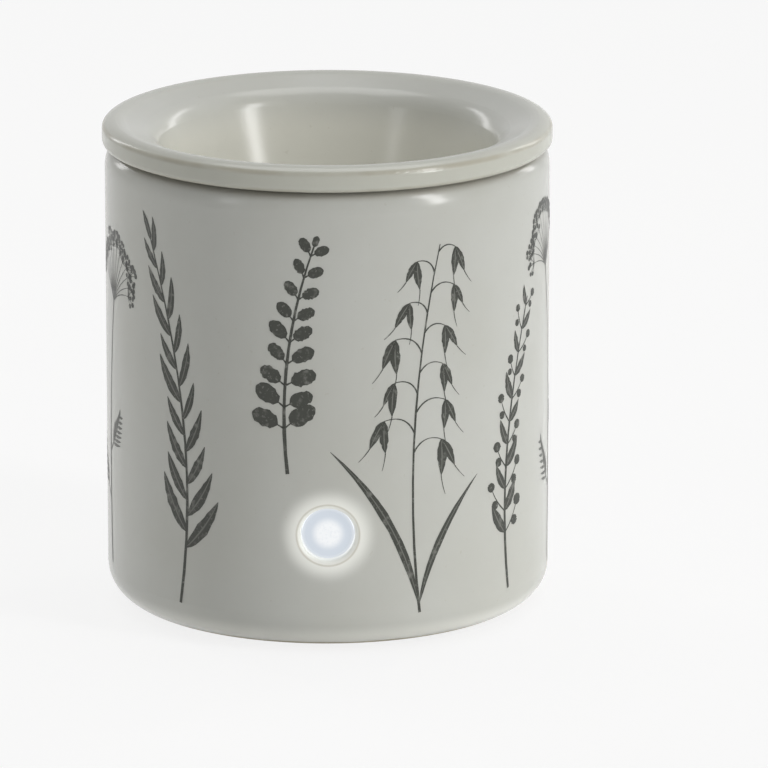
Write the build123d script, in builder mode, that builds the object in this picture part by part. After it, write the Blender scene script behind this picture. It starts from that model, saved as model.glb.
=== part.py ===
from build123d import *
from math import cos, radians, sin, sqrt, tan
import os

# Electric wax melt warmer: a glazed ceramic body, a lift-off wax dish over a hidden heat plate,
# and a lit push button low at the front.
# Millimetres, +Z up, origin on the table under the middle of the body, button facing -Y.

# Overall sizes
overall_height = 111.8
rim_diameter = 101.6
rim_overhang = 0.6

# Ceramic body
wall_thickness = 4.5
body_lip_height = 5.0
rim_land = 0.3
bore_lip_radius = 0.8
base_corner_radius = 8.0
foot_ring_width = 4.2
ledge_thickness = 5.0
ledge_seat_width = 5.0
button_height = 28.0
button_hole_diameter = 12.0
button_mouth_radius = 1.0

# Wax dish
flange_thickness = 5.7
flange_bottom_radius = 1.4
flange_edge_radius = 1.6
crown_inset = 3.0
crown_edge_drop = 1.4
crown_inner_radius = 5.0
flange_width = 11.8
flange_slope = 24.0
mouth_radius = 6.0
well_depth = 32.0
well_slope = 21.0
well_floor_fillet = 10.0
dish_wall = 4.2
dish_floor = 4.5
dish_bottom_fillet = 10.0
shoulder_depth = 2.5
shoulder_edge_radius = 0.8
shoulder_clearance = 0.6

# Base plate, its screws and the rubber feet
foot_standout = 1.0
foot_diameter = 9.0
foot_edge_gap = 2.1
foot_pocket_depth = 1.0
foot_pocket_clearance = 0.2
foot_chamfer = 0.7
base_plate_thickness = 3.0
base_plate_inset = 0.5
base_plate_clearance = 0.4
base_plate_chamfer = 0.4
base_screw_edge_gap = 7.4
base_screw_reach = 7.5
vent_slot_length = 9.0
vent_slot_width = 2.4
vent_slot_count = 6
vent_circle_radius = 12.0

# Screws
screw_diameter = 3.0
screw_head_diameter = 5.6
screw_head_height = 1.6
screw_head_radius = 0.5
screw_slot_width = 0.9
screw_slot_depth = 0.8
screw_hole_clearance = 0.2
screw_thread_clearance = 0.05
screw_end_room = 0.5
counterbore_clearance = 0.3
counterbore_sink = 0.2
small_screw_diameter = 2.2
small_screw_head_diameter = 4.2
small_screw_head_height = 1.4

# Deck
deck_thickness = 3.0
deck_clearance = 0.5
deck_boss_diameter = 7.2
deck_boss_gap = 0.2

# Cord gland and the notch that it sits in
cord_notch_width = 8.4
cord_axis_height = 8.5
cord_hole_diameter = 5.4
gland_clearance = 0.2
gland_face_inset = 2.5
gland_collar_lip = 2.1
gland_collar_rise = 1.0
gland_collar_thickness = 2.0
gland_collar_gap = 0.3
gland_deck_clearance = 0.6

# Pillars
pillar_head_gap = 1.2
pillar_across_flats = 5.5
pillar_thread_depth = 6.5

# Heater stack, from the dish down
plate_gap = 0.3
heat_plate_cover = 1.2
heat_plate_thickness = 3.0
heat_plate_chamfer = 0.6
element_inset = 0.5
element_thickness = 1.6
element_tab_width = 4.0
element_tab_thickness = 0.8
element_tab_overhang = 1.6
pad_screw_gap = 1.2
pad_thickness = 3.0
pan_thickness = 1.0
pan_rim_height = 6.0
pan_clearance = 0.7
pan_bend_radius = 2.0
stud_diameter = 4.0
stud_clearance = 0.2
stud_tail = 1.2
clamp_washer_diameter = 9.0
clamp_washer_thickness = 0.8
clamp_nut_across_flats = 7.0
clamp_nut_height = 3.2

# Thermal fuse and its clip
fuse_diameter = 4.0
fuse_length = 11.0
fuse_lead_diameter = 1.0
fuse_lead_length = 3.0
fuse_lead_run = 4.0
fuse_y = -10.0
fuse_gap = 0.2
clip_thickness = 0.6
clip_length = 5.0
clip_ear = 3.4

# Button, switch and light
cap_clearance = 0.25
cap_recess = 2.0
cap_dome = 0.5
cap_front_wall = 2.2
cap_flange_lip = 1.5
cap_flange_thickness = 1.4
cap_flange_gap = 0.4
cap_skirt_step = 0.75
cap_skirt_tail = 0.8
cap_guide_clearance = 0.15
cap_tab_width = 6.0
cap_tab_margin = 2.2
presser_diameter = 3.0
press_travel = 0.8
press_end_room = 0.5
switch_offset = 10.8
switch_size = 6.0
switch_gap = 0.5
plunger_diameter = 3.2
plunger_standout = 1.0
plunger_depth = 1.4
plunger_clearance = 0.15
presser_hole_clearance = 0.5
led_diameter = 5.0
led_flange_diameter = 5.8
led_flange_thickness = 1.0
led_room = 1.2
led_gap = 0.5

# Control board and its bracket
bracket_width = 32.0
bracket_thickness = 2.0
bracket_margin = 7.0
bracket_foot_thickness = 2.2
bracket_foot_length = 14.0
bracket_screw_spacing = 22.0
bracket_screw_setback = 10.5
standoff_length = 4.0
standoff_diameter = 5.4
standoff_depth = 4.5
board_width = 34.0
board_thickness = 1.6
board_foot_gap = 0.6
board_screw_inset = 3.0
board_screw_margin = 3.2
board_hole_clearance = 0.25

# Parts on the back of the board
connector_height_above_button = 1.0
connector_pitch = 3.4
connector_poles = 4
connector_height = 7.0
connector_depth = 8.5
capacitor_width = 13.0
capacitor_height = 6.0
capacitor_depth = 11.0
capacitor_x = -5.0
capacitor_above_button = 9.0
capacitor_edge_radius = 1.0
triac_width = 10.0
triac_height = 14.0
triac_body_height = 9.0
triac_depth = 4.5
triac_tab_thickness = 1.3
triac_tab_hole = 3.6
triac_x = 9.5
triac_above_button = 3.0
chip_width = 5.0
chip_height = 4.0
chip_depth = 1.6
chip_x = 1.0
chip_below_button = 6.5

# Terminal block for the supply
terminal_pillar_gap = 1.3
terminal_cord_gap = 2.5
terminal_pitch = 7.0
terminal_end = 4.5
terminal_depth = 10.0
terminal_height = 11.0
terminal_wire_height = 4.0
terminal_supply_hole = 2.6
terminal_hole_depth = 3.5
terminal_screw_diameter = 4.0
terminal_screw_height = 2.4
terminal_well_depth = 3.0
terminal_well_clearance = 0.2
terminal_ear_length = 7.0
terminal_ear_thickness = 2.2

# Internal leads
lead_diameter = 1.8
lead_hole_clearance = 0.1
lead_seat = 2.5
lead_bend_radius = 5.0
lead_short_bend_radius = 3.0
lead_pan_clearance = 1.1
lead_pillar_gap = 2.3
lead_run_from_board = 9.0
lead_run_from_terminal = 11.0

# Levels, from the table up
body_foot_z = foot_standout
base_plate_z = body_foot_z + base_plate_inset
ledge_z = base_plate_z + base_plate_thickness
deck_z = ledge_z + ledge_thickness
deck_top_z = deck_z + deck_thickness
seam_z = overall_height - flange_thickness
lip_z = seam_z - body_lip_height
well_floor_z = overall_height - well_depth
dish_bottom_z = well_floor_z - dish_floor
plate_top_z = dish_bottom_z - plate_gap
plate_z = plate_top_z - heat_plate_thickness
element_z = plate_z - element_thickness
pad_z = element_z - pad_thickness
pan_z = pad_z - pan_thickness
fuse_z = pan_z - fuse_gap - fuse_diameter / 2

# Radii
rim_radius = rim_diameter / 2
body_radius = rim_radius - rim_overhang
bore_radius = body_radius - wall_thickness
rim_land_r = bore_radius + bore_lip_radius + rim_land
base_recess_radius = body_radius - base_corner_radius - foot_ring_width
base_plate_radius = base_recess_radius - base_plate_clearance
ledge_opening_radius = base_recess_radius - ledge_seat_width
mouth_r = rim_radius - flange_width
crown_r = rim_radius - crown_inset
shoulder_r = bore_radius - shoulder_clearance
screw_hole_r = screw_diameter / 2 + screw_hole_clearance
screw_pilot_r = screw_diameter / 2 + screw_thread_clearance
small_pilot_r = small_screw_diameter / 2 + screw_thread_clearance
lead_hole_r = lead_diameter / 2 + lead_hole_clearance
foot_circle_radius = base_plate_radius - foot_diameter / 2 - foot_edge_gap
base_screw_circle_radius = ledge_opening_radius - deck_boss_diameter / 2 - base_screw_edge_gap
pillar_circle_radius = ledge_opening_radius - screw_head_diameter / 2 - pillar_head_gap
heat_plate_radius = pillar_circle_radius + screw_head_diameter / 2 + heat_plate_cover
pad_radius = pillar_circle_radius - screw_head_diameter / 2 - pad_screw_gap
element_radius = pad_radius - element_inset
tab_r = pad_radius + lead_pan_clearance + lead_diameter
cap_r = button_hole_diameter / 2 - cap_clearance
cap_flange_r = button_hole_diameter / 2 + cap_flange_lip
cap_skirt_r = cap_r - cap_skirt_step
cap_bore_r = led_diameter / 2 + led_room

# Distances in front of the axis, along the button's line
cap_edge_front = body_radius - cap_recess
cap_apex_front = cap_edge_front + cap_dome
cap_flange_front = sqrt(bore_radius**2 - cap_flange_r**2) - cap_flange_gap
cap_flange_back = cap_flange_front - cap_flange_thickness
bracket_front = cap_flange_back - press_travel - press_end_room
bracket_back = bracket_front - bracket_thickness
board_front = bracket_back - standoff_length
board_back = board_front - board_thickness
switch_front = bracket_back - switch_gap
plunger_front = switch_front + plunger_standout
cap_bore_front = cap_edge_front - cap_front_wall
led_tip_front = cap_bore_front - press_travel - led_gap
led_barrel_front = led_tip_front - led_diameter / 2
connector_back = board_back - connector_depth

# Heights on the board
switch_z = button_height + switch_offset
bracket_top_z = switch_z + bracket_margin
board_z = deck_top_z + bracket_foot_thickness + board_foot_gap
board_height = bracket_top_z - board_z
connector_z = button_height + connector_height_above_button


def polar_points(radius, angles):
    """Points on a circle about the axis, one for each angle in degrees."""
    return [(radius * cos(radians(a)), radius * sin(radians(a))) for a in angles]


def round_corners(sketch, corners):
    """Round the named corners of a profile, each given as a point and a radius."""
    for point, radius in corners:
        fillet(sketch.vertices().sort_by_distance((*point, 0))[0], radius)


def save(part, name):
    """Label a finished piece and write it as a node."""
    part.label = name
    export_step(part, f"parts/{name}.step")


os.makedirs("parts", exist_ok=True)

third_angles = (30, 150, 270)
quarter_angles = (45, 135, 225, 315)
corner_names = ("back_right", "back_left", "front_left", "front_right")
base_screw_points = polar_points(base_screw_circle_radius, third_angles)
foot_points = polar_points(foot_circle_radius, quarter_angles)
pillar_points = polar_points(pillar_circle_radius, quarter_angles)
pillar_reach = pillar_points[0][0]
pillar_corner_r = pillar_across_flats / sqrt(3)
tab_a_point = (-sqrt(tab_r**2 - fuse_y**2), fuse_y)
tab_b_point = (tab_r, 0)
fuse_left_x = tab_a_point[0] + fuse_lead_run
fuse_right_x = fuse_left_x + fuse_length + 2 * fuse_lead_length
fuse_x = (fuse_left_x + fuse_right_x) / 2
cord_notch_r = cord_notch_width / 2
gland_neck_r = cord_notch_r - gland_clearance
gland_floor_z = ledge_z + gland_clearance
gland_collar_r = cord_notch_r + gland_collar_lip
gland_collar_top_z = cord_axis_height + gland_neck_r + gland_collar_rise
gland_collar_back = sqrt(ledge_opening_radius**2 - gland_collar_r**2) - gland_collar_gap
gland_collar_front = gland_collar_back - gland_collar_thickness
bracket_screw_y = -(bracket_back - bracket_screw_setback)
bracket_screw_points = [(side * bracket_screw_spacing / 2, bracket_screw_y) for side in (-1, 1)]
terminal_width = terminal_pitch + 2 * terminal_end
terminal_left = pillar_across_flats / 2 + terminal_pillar_gap - pillar_reach
terminal_x = terminal_left + terminal_width / 2
terminal_back_y = gland_collar_front - gland_deck_clearance - terminal_cord_gap
terminal_y = terminal_back_y - terminal_depth / 2
terminal_ear_point = (terminal_x + (terminal_width + terminal_ear_length) / 2, terminal_y)
board_screw_points = [
    (side * (bracket_width / 2 - board_screw_inset), z)
    for side in (-1, 1)
    for z in (board_z + board_screw_margin, bracket_top_z - board_screw_margin)
]

# Ceramic body: wall, foot ring and an inner ledge, with the button's hole and the cord's notch
with BuildPart() as body_shell:
    with BuildSketch(Plane.XZ) as body_profile:
        with BuildLine():
            Polyline(
                (rim_land_r, seam_z),
                (bore_radius, seam_z),
                (bore_radius, deck_z),
                (ledge_opening_radius, deck_z),
                (ledge_opening_radius, ledge_z),
                (base_recess_radius, ledge_z),
                (base_recess_radius, body_foot_z),
                (body_radius, body_foot_z),
                (body_radius, lip_z),
            )
            EllipticalCenterArc((rim_land_r, lip_z), body_radius - rim_land_r, body_lip_height)
        make_face()
        round_corners(
            body_profile,
            (
                ((body_radius, body_foot_z), base_corner_radius),
                ((bore_radius, seam_z), bore_lip_radius),
            ),
        )
    revolve(axis=Axis.Z)
    with BuildSketch(Plane.XZ.offset(bore_radius - wall_thickness)):
        with Locations((0, button_height)):
            Circle(button_hole_diameter / 2)
    extrude(amount=3 * wall_thickness, mode=Mode.SUBTRACT)
    button_mouth_point = (0, -body_radius, button_height + button_hole_diameter / 2)
    fillet(body_shell.edges().sort_by_distance(button_mouth_point)[0], button_mouth_radius)
    with BuildSketch(Plane.XZ.offset(-gland_collar_front)):
        with Locations((0, cord_axis_height)):
            Circle(cord_notch_r)
        with Locations((0, cord_axis_height / 2)):
            Rectangle(cord_notch_width, cord_axis_height)
    extrude(amount=-body_radius, mode=Mode.SUBTRACT)
save(body_shell.part, "body_shell")

# Wax dish: a crowned flange that lies on the body's rim, a locating shoulder and a tapered well
flange_edge_point = (rim_radius, overall_height - crown_edge_drop)
crown_point = (crown_r, overall_height)
slope_r = crown_r - crown_inner_radius * sin(radians(flange_slope))
slope_z = overall_height - crown_inner_radius * (1 - cos(radians(flange_slope)))
mouth_z = slope_z - (slope_r - mouth_r) * tan(radians(flange_slope))
mouth_point = (mouth_r, mouth_z)
well_floor_r = mouth_r - (mouth_z - well_floor_z) * tan(radians(well_slope))
shoulder_z = seam_z - shoulder_depth
with BuildPart() as wax_dish:
    with BuildSketch(Plane.XZ) as dish_profile:
        with BuildLine():
            Polyline(
                (0, well_floor_z),
                (0, dish_bottom_z),
                (well_floor_r + dish_wall, dish_bottom_z),
                (mouth_r + dish_wall, shoulder_z),
                (shoulder_r, shoulder_z),
                (shoulder_r, seam_z),
                (rim_radius, seam_z),
                flange_edge_point,
            )
            TangentArc(crown_point, flange_edge_point, tangent=(1, 0))
            TangentArc(crown_point, (slope_r, slope_z), tangent=(-1, 0))
            Polyline(
                (slope_r, slope_z), mouth_point, (well_floor_r, well_floor_z), (0, well_floor_z)
            )
        make_face()
        round_corners(
            dish_profile,
            (
                ((well_floor_r + dish_wall, dish_bottom_z), dish_bottom_fillet),
                ((shoulder_r, shoulder_z), shoulder_edge_radius),
                ((rim_radius, seam_z), flange_bottom_radius),
                (flange_edge_point, flange_edge_radius),
                (mouth_point, mouth_radius),
                ((well_floor_r, well_floor_z), well_floor_fillet),
            ),
        )
    revolve(axis=Axis.Z)
save(wax_dish.part, "wax_dish")

# Base plate: a disc in the underside's recess, with screw counterbores, foot pockets and vents
counterbore_depth = screw_head_height + counterbore_sink
foot_pocket_r = foot_diameter / 2 + foot_pocket_clearance
with BuildPart() as base_plate:
    with BuildSketch(Plane.XY.offset(base_plate_z)):
        Circle(base_plate_radius)
    extrude(amount=base_plate_thickness)
    chamfer(base_plate.edges().group_by(Axis.Z)[0], base_plate_chamfer)
    with Locations(*[Location((x, y, base_plate_z), (180, 0, 0)) for x, y in base_screw_points]):
        CounterBoreHole(
            radius=screw_hole_r,
            counter_bore_radius=screw_head_diameter / 2 + counterbore_clearance,
            counter_bore_depth=counterbore_depth,
        )
    with Locations(*[Location((x, y, base_plate_z), (180, 0, 0)) for x, y in foot_points]):
        Hole(radius=foot_pocket_r, depth=foot_pocket_depth)
    with BuildSketch(Plane.XY.offset(base_plate_z)):
        with PolarLocations(vent_circle_radius, vent_slot_count):
            SlotOverall(vent_slot_length, vent_slot_width)
    extrude(amount=base_plate_thickness, mode=Mode.SUBTRACT)
save(base_plate.part, "base_plate")

# Rubber feet, pressed into the pockets of the base plate
foot_height = base_plate_z + foot_pocket_depth
for (foot_x, foot_y), corner in zip(foot_points, corner_names):
    with BuildPart() as foot:
        with BuildSketch():
            with Locations((foot_x, foot_y)):
                Circle(foot_diameter / 2)
        extrude(amount=foot_height)
        chamfer(foot.edges().group_by(Axis.Z)[0], foot_chamfer)
    save(foot.part, f"foot_{corner}")


def slotted_screw(diameter, reach, head_diameter, head_height):
    """Screw with its head's underside at z = 0, head up and shank down."""
    with BuildPart() as screw:
        with BuildSketch():
            Circle(diameter / 2)
        extrude(amount=-reach)
        with BuildSketch():
            Circle(head_diameter / 2)
        extrude(amount=head_height)
        fillet(screw.edges().group_by(Axis.Z)[-1], screw_head_radius)
        with BuildSketch(Plane.XY.offset(head_height)):
            Rectangle(head_diameter, screw_slot_width)
        extrude(amount=-screw_slot_depth, mode=Mode.SUBTRACT)
    return screw.part


def screw_group(screw, locations):
    """Copies of one screw at the given places, as one node."""
    with BuildPart() as group:
        with Locations(*locations):
            add(screw)
    return group.part


base_screw = slotted_screw(screw_diameter, base_screw_reach, screw_head_diameter, screw_head_height)
base_screw_seat_z = base_plate_z + counterbore_depth
base_screw_places = [Location((x, y, base_screw_seat_z), (180, 0, 0)) for x, y in base_screw_points]
save(screw_group(base_screw, base_screw_places), "base_screws")

# Deck: a moulded disc on the ledge, with bosses for the base screws and a gap for the cord
base_pilot_depth = base_screw_seat_z + base_screw_reach + screw_end_room - ledge_z - deck_boss_gap
deck_gap_width = 2 * (gland_collar_r + gland_deck_clearance)
with BuildPart() as deck:
    with BuildSketch(Plane.XY.offset(deck_z)):
        Circle(bore_radius - deck_clearance)
    extrude(amount=deck_thickness)
    with BuildSketch(Plane.XY.offset(ledge_z + deck_boss_gap)):
        with Locations(*base_screw_points):
            Circle(deck_boss_diameter / 2)
    extrude(amount=ledge_thickness - deck_boss_gap)
    boss_foot_z = ledge_z + deck_boss_gap
    with Locations(*[Location((x, y, boss_foot_z), (180, 0, 0)) for x, y in base_screw_points]):
        Hole(radius=screw_pilot_r, depth=base_pilot_depth)
    with Locations(*[(x, y, deck_top_z) for x, y in pillar_points]):
        Hole(radius=screw_hole_r, depth=deck_thickness)
    with Locations(*[(x, y, deck_top_z) for x, y in (*bracket_screw_points, terminal_ear_point)]):
        Hole(radius=small_pilot_r, depth=deck_thickness)
    with BuildSketch(Plane.XY.offset(deck_z)):
        with Locations((0, gland_collar_front - gland_deck_clearance)):
            Rectangle(deck_gap_width, body_radius, align=(Align.CENTER, Align.MIN))
    extrude(amount=deck_thickness, mode=Mode.SUBTRACT)
save(deck.part, "deck")

# Cord gland: a rubber neck in the notch at the back, with a collar inside the ledge
with BuildPart() as cord_gland:
    with BuildSketch(Plane.XZ.offset(-gland_collar_back)):
        with Locations((0, cord_axis_height)):
            Circle(gland_neck_r)
        with Locations((0, gland_floor_z)):
            Rectangle(
                2 * gland_neck_r,
                cord_axis_height - gland_floor_z,
                align=(Align.CENTER, Align.MIN),
            )
    extrude(amount=-(body_radius - gland_face_inset - gland_collar_back))
    with BuildSketch(Plane.XZ.offset(-gland_collar_front)):
        with Locations((0, gland_floor_z)):
            Rectangle(
                2 * gland_collar_r,
                gland_collar_top_z - gland_floor_z,
                align=(Align.CENTER, Align.MIN),
            )
    extrude(amount=-gland_collar_thickness)
    with BuildSketch(Plane.XZ.offset(-gland_collar_front)):
        with Locations((0, cord_axis_height)):
            Circle(cord_hole_diameter / 2)
    extrude(amount=-body_radius, mode=Mode.SUBTRACT)
save(cord_gland.part, "cord_gland")

# Hexagon pillars between the deck and the heater pan, threaded at both ends
for (pillar_x, pillar_y), corner in zip(pillar_points, corner_names):
    with BuildPart() as pillar:
        with BuildSketch(Plane.XY.offset(deck_top_z)):
            with Locations((pillar_x, pillar_y)):
                RegularPolygon(pillar_across_flats / 2, 6, major_radius=False)
        extrude(amount=pan_z - deck_top_z)
        with Locations(Location((pillar_x, pillar_y, deck_top_z), (180, 0, 0))):
            Hole(radius=screw_pilot_r, depth=pillar_thread_depth)
        with Locations((pillar_x, pillar_y, pan_z)):
            Hole(radius=screw_pilot_r, depth=pillar_thread_depth)
    save(pillar.part, f"pillar_{corner}")

thread_reach = pillar_thread_depth - screw_end_room
pillar_screw = slotted_screw(
    screw_diameter, deck_thickness + thread_reach, screw_head_diameter, screw_head_height
)
pillar_screw_places = [Location((x, y, deck_z), (180, 0, 0)) for x, y in pillar_points]
save(screw_group(pillar_screw, pillar_screw_places), "pillar_screws")
pan_screw = slotted_screw(
    screw_diameter, pan_thickness + thread_reach, screw_head_diameter, screw_head_height
)
pan_screw_places = [Location((x, y, pad_z)) for x, y in pillar_points]
save(screw_group(pan_screw, pan_screw_places), "pan_screws")

# Heater pan: a pressed steel tray that closes the bay around the heat plate
pan_radius = bore_radius - pan_clearance
stud_hole_r = stud_diameter / 2 + stud_clearance
with BuildPart() as heater_pan:
    with BuildSketch(Plane.XZ) as pan_profile:
        with BuildLine():
            Polyline(
                (0, pan_z),
                (pan_radius, pan_z),
                (pan_radius, pan_z + pan_rim_height),
                (pan_radius - pan_thickness, pan_z + pan_rim_height),
                (pan_radius - pan_thickness, pad_z),
                (0, pad_z),
                close=True,
            )
        make_face()
        round_corners(
            pan_profile,
            (
                ((pan_radius, pan_z), pan_bend_radius),
                ((pan_radius - pan_thickness, pad_z), pan_bend_radius - pan_thickness),
            ),
        )
    revolve(axis=Axis.Z)
    with Locations(*[(x, y, pad_z) for x, y in pillar_points]):
        Hole(radius=screw_hole_r, depth=pan_thickness)
    with Locations((0, 0, pad_z)):
        Hole(radius=stud_hole_r, depth=pan_thickness)
    with Locations(*[(x, y, pad_z) for x, y in (tab_a_point, tab_b_point)]):
        Hole(radius=lead_diameter / 2 + lead_pan_clearance, depth=pan_thickness)
save(heater_pan.part, "heater_pan")

# Insulation pad under the element
with BuildPart() as insulation_pad:
    with BuildSketch(Plane.XY.offset(pad_z)):
        Circle(pad_radius)
        Circle(stud_hole_r, mode=Mode.SUBTRACT)
    extrude(amount=pad_thickness)
save(insulation_pad.part, "insulation_pad")

# Flat heating element with a tab for each lead
with BuildPart() as heating_element:
    with BuildSketch(Plane.XY.offset(element_z)):
        Circle(element_radius)
    extrude(amount=element_thickness)
    with BuildSketch(Plane.XY.offset(element_z)):
        for tab_x, tab_y in (tab_a_point, tab_b_point):
            tab_end = Vector(tab_x, tab_y) * ((tab_r + element_tab_overhang) / tab_r)
            with BuildLine():
                tab_line = Line((0, 0), tab_end)
            trace(tab_line, line_width=element_tab_width)
    extrude(amount=element_tab_thickness)
    with Locations((0, 0, plate_z)):
        Hole(radius=stud_hole_r, depth=element_thickness)
save(heating_element.part, "heating_element")

# Heat plate with its clamping stud
stud_foot_z = pan_z - clamp_washer_thickness - clamp_nut_height - stud_tail
with BuildPart() as heat_plate:
    with BuildSketch(Plane.XY.offset(plate_z)):
        Circle(heat_plate_radius)
    extrude(amount=heat_plate_thickness)
    chamfer(heat_plate.edges().group_by(Axis.Z)[-1], heat_plate_chamfer)
    with BuildSketch(Plane.XY.offset(stud_foot_z)):
        Circle(stud_diameter / 2)
    extrude(amount=plate_z - stud_foot_z)
save(heat_plate.part, "heat_plate")

with BuildPart() as clamp_washer:
    with BuildSketch(Plane.XY.offset(pan_z)):
        Circle(clamp_washer_diameter / 2)
        Circle(stud_hole_r, mode=Mode.SUBTRACT)
    extrude(amount=-clamp_washer_thickness)
save(clamp_washer.part, "clamp_washer")

with BuildPart() as clamp_nut:
    with BuildSketch(Plane.XY.offset(pan_z - clamp_washer_thickness)):
        RegularPolygon(clamp_nut_across_flats / 2, 6, major_radius=False)
        Circle(stud_diameter / 2 + screw_thread_clearance, mode=Mode.SUBTRACT)
    extrude(amount=-clamp_nut_height)
save(clamp_nut.part, "clamp_nut")

# Thermal fuse below the pan, lying along X, and the strap that holds it there
with BuildPart() as thermal_fuse:
    with BuildSketch(Plane.YZ.offset(fuse_x - fuse_length / 2)):
        with Locations((fuse_y, fuse_z)):
            Circle(fuse_diameter / 2)
    extrude(amount=fuse_length)
    with BuildSketch(Plane.YZ.offset(fuse_left_x)):
        with Locations((fuse_y, fuse_z)):
            Circle(fuse_lead_diameter / 2)
    extrude(amount=fuse_right_x - fuse_left_x)
save(thermal_fuse.part, "thermal_fuse")

clip_inner_r = fuse_diameter / 2 + fuse_gap
clip_outer_r = clip_inner_r + clip_thickness
with BuildPart() as fuse_clip:
    with BuildSketch(Plane.YZ.offset(fuse_x - clip_length / 2)):
        with Locations((fuse_y, fuse_z)):
            Circle(clip_outer_r)
        with Locations((fuse_y, pan_z)):
            Rectangle(2 * clip_outer_r, pan_z - fuse_z, align=(Align.CENTER, Align.MAX))
            Rectangle(
                2 * (clip_outer_r + clip_ear), clip_thickness, align=(Align.CENTER, Align.MAX)
            )
            Rectangle(
                2 * clip_outer_r, clip_outer_r, align=(Align.CENTER, Align.MIN), mode=Mode.SUBTRACT
            )
            Rectangle(
                2 * clip_inner_r,
                pan_z - fuse_z,
                align=(Align.CENTER, Align.MAX),
                mode=Mode.SUBTRACT,
            )
        with Locations((fuse_y, fuse_z)):
            Circle(clip_inner_r, mode=Mode.SUBTRACT)
    extrude(amount=clip_length)
save(fuse_clip.part, "fuse_clip")

# Button cap: a frosted dome in the body's hole, a flange behind the wall, a skirt in the guide
# and a tab whose peg presses the switch
cap_dome_radius = (cap_r**2 + cap_dome**2) / (2 * cap_dome)
cap_dome_middle_front = cap_apex_front - cap_dome_radius + sqrt(cap_dome_radius**2 - (cap_r / 2) ** 2)
cap_skirt_back = bracket_back - cap_skirt_tail
with BuildPart() as button_cap:
    with BuildSketch(Plane.YZ):
        with BuildLine():
            ThreePointArc(
                (-cap_apex_front, button_height),
                (-cap_dome_middle_front, button_height + cap_r / 2),
                (-cap_edge_front, button_height + cap_r),
            )
            Polyline(
                (-cap_edge_front, button_height + cap_r),
                (-cap_flange_front, button_height + cap_r),
                (-cap_flange_front, button_height + cap_flange_r),
                (-cap_flange_back, button_height + cap_flange_r),
                (-cap_flange_back, button_height + cap_skirt_r),
                (-cap_skirt_back, button_height + cap_skirt_r),
                (-cap_skirt_back, button_height + cap_bore_r),
                (-cap_bore_front, button_height + cap_bore_r),
                (-cap_bore_front, button_height),
                (-cap_apex_front, button_height),
            )
        make_face()
    revolve(axis=Axis((0, 0, button_height), (0, 1, 0)))
    with BuildSketch(Plane.XZ.offset(cap_flange_back)):
        with Locations((0, button_height + cap_r)):
            Rectangle(
                cap_tab_width,
                switch_offset + cap_tab_margin - cap_r,
                align=(Align.CENTER, Align.MIN),
            )
    extrude(amount=cap_flange_thickness)
    with BuildSketch(Plane.XZ.offset(plunger_front)):
        with Locations((0, switch_z)):
            Circle(presser_diameter / 2)
    extrude(amount=cap_flange_back - plunger_front)
save(button_cap.part, "button_cap")

# Push switch on the board, and its plunger
with BuildPart() as switch_body:
    with BuildSketch(Plane.XZ.offset(board_front)):
        with Locations((0, switch_z)):
            Rectangle(switch_size, switch_size)
    extrude(amount=switch_front - board_front)
    with BuildSketch(Plane.XZ.offset(switch_front)):
        with Locations((0, switch_z)):
            Circle(plunger_diameter / 2 + plunger_clearance)
    extrude(amount=-(plunger_depth + press_travel + plunger_clearance), mode=Mode.SUBTRACT)
save(switch_body.part, "switch_body")

with BuildPart() as switch_plunger:
    with BuildSketch(Plane.XZ.offset(plunger_front)):
        with Locations((0, switch_z)):
            Circle(plunger_diameter / 2)
    extrude(amount=-(plunger_standout + plunger_depth))
save(switch_plunger.part, "switch_plunger")

# Light behind the cap
with BuildPart() as indicator_led:
    with BuildSketch(Plane.XZ.offset(board_front)):
        with Locations((0, button_height)):
            Circle(led_flange_diameter / 2)
    extrude(amount=led_flange_thickness)
    with BuildSketch(Plane.XZ.offset(board_front)):
        with Locations((0, button_height)):
            Circle(led_diameter / 2)
    extrude(amount=led_barrel_front - board_front)
    with Locations((0, -led_barrel_front, button_height)):
        Sphere(led_diameter / 2)
save(indicator_led.part, "indicator_led")

# Bracket: an upright plate that guides the cap and carries the board, on a foot
with BuildPart() as board_bracket:
    with BuildSketch(Plane.XZ.offset(bracket_back)):
        with Locations((0, deck_top_z)):
            Rectangle(
                bracket_width, bracket_top_z - deck_top_z, align=(Align.CENTER, Align.MIN)
            )
    extrude(amount=bracket_thickness)
    with BuildSketch(Plane.XY.offset(deck_top_z)):
        with Locations((0, -bracket_front)):
            Rectangle(
                bracket_width,
                bracket_thickness + bracket_foot_length,
                align=(Align.CENTER, Align.MIN),
            )
    extrude(amount=bracket_foot_thickness)
    with BuildSketch(Plane.XZ.offset(board_front)):
        with Locations(*board_screw_points):
            Circle(standoff_diameter / 2)
    extrude(amount=standoff_length)
    with BuildSketch(Plane.XZ.offset(board_front)):
        with Locations(*board_screw_points):
            Circle(small_pilot_r)
    extrude(amount=standoff_depth, mode=Mode.SUBTRACT)
    with BuildSketch(Plane.XZ.offset(bracket_back)):
        with Locations((0, button_height)):
            Circle(cap_skirt_r + cap_guide_clearance)
        with Locations((0, switch_z)):
            Circle(plunger_diameter / 2 + presser_hole_clearance)
    extrude(amount=bracket_thickness, mode=Mode.SUBTRACT)
    with Locations(*[(x, y, deck_top_z + bracket_foot_thickness) for x, y in bracket_screw_points]):
        Hole(radius=small_screw_diameter / 2 + screw_hole_clearance, depth=bracket_foot_thickness)
save(board_bracket.part, "board_bracket")

# Control board and the screws that hold it to the bracket
with BuildPart() as control_board:
    with BuildSketch(Plane.XZ.offset(board_front)):
        with Locations((0, board_z)):
            Rectangle(board_width, board_height, align=(Align.CENTER, Align.MIN))
        with Locations(*board_screw_points):
            Circle(small_screw_diameter / 2 + board_hole_clearance, mode=Mode.SUBTRACT)
    extrude(amount=-board_thickness)
save(control_board.part, "control_board")

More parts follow.
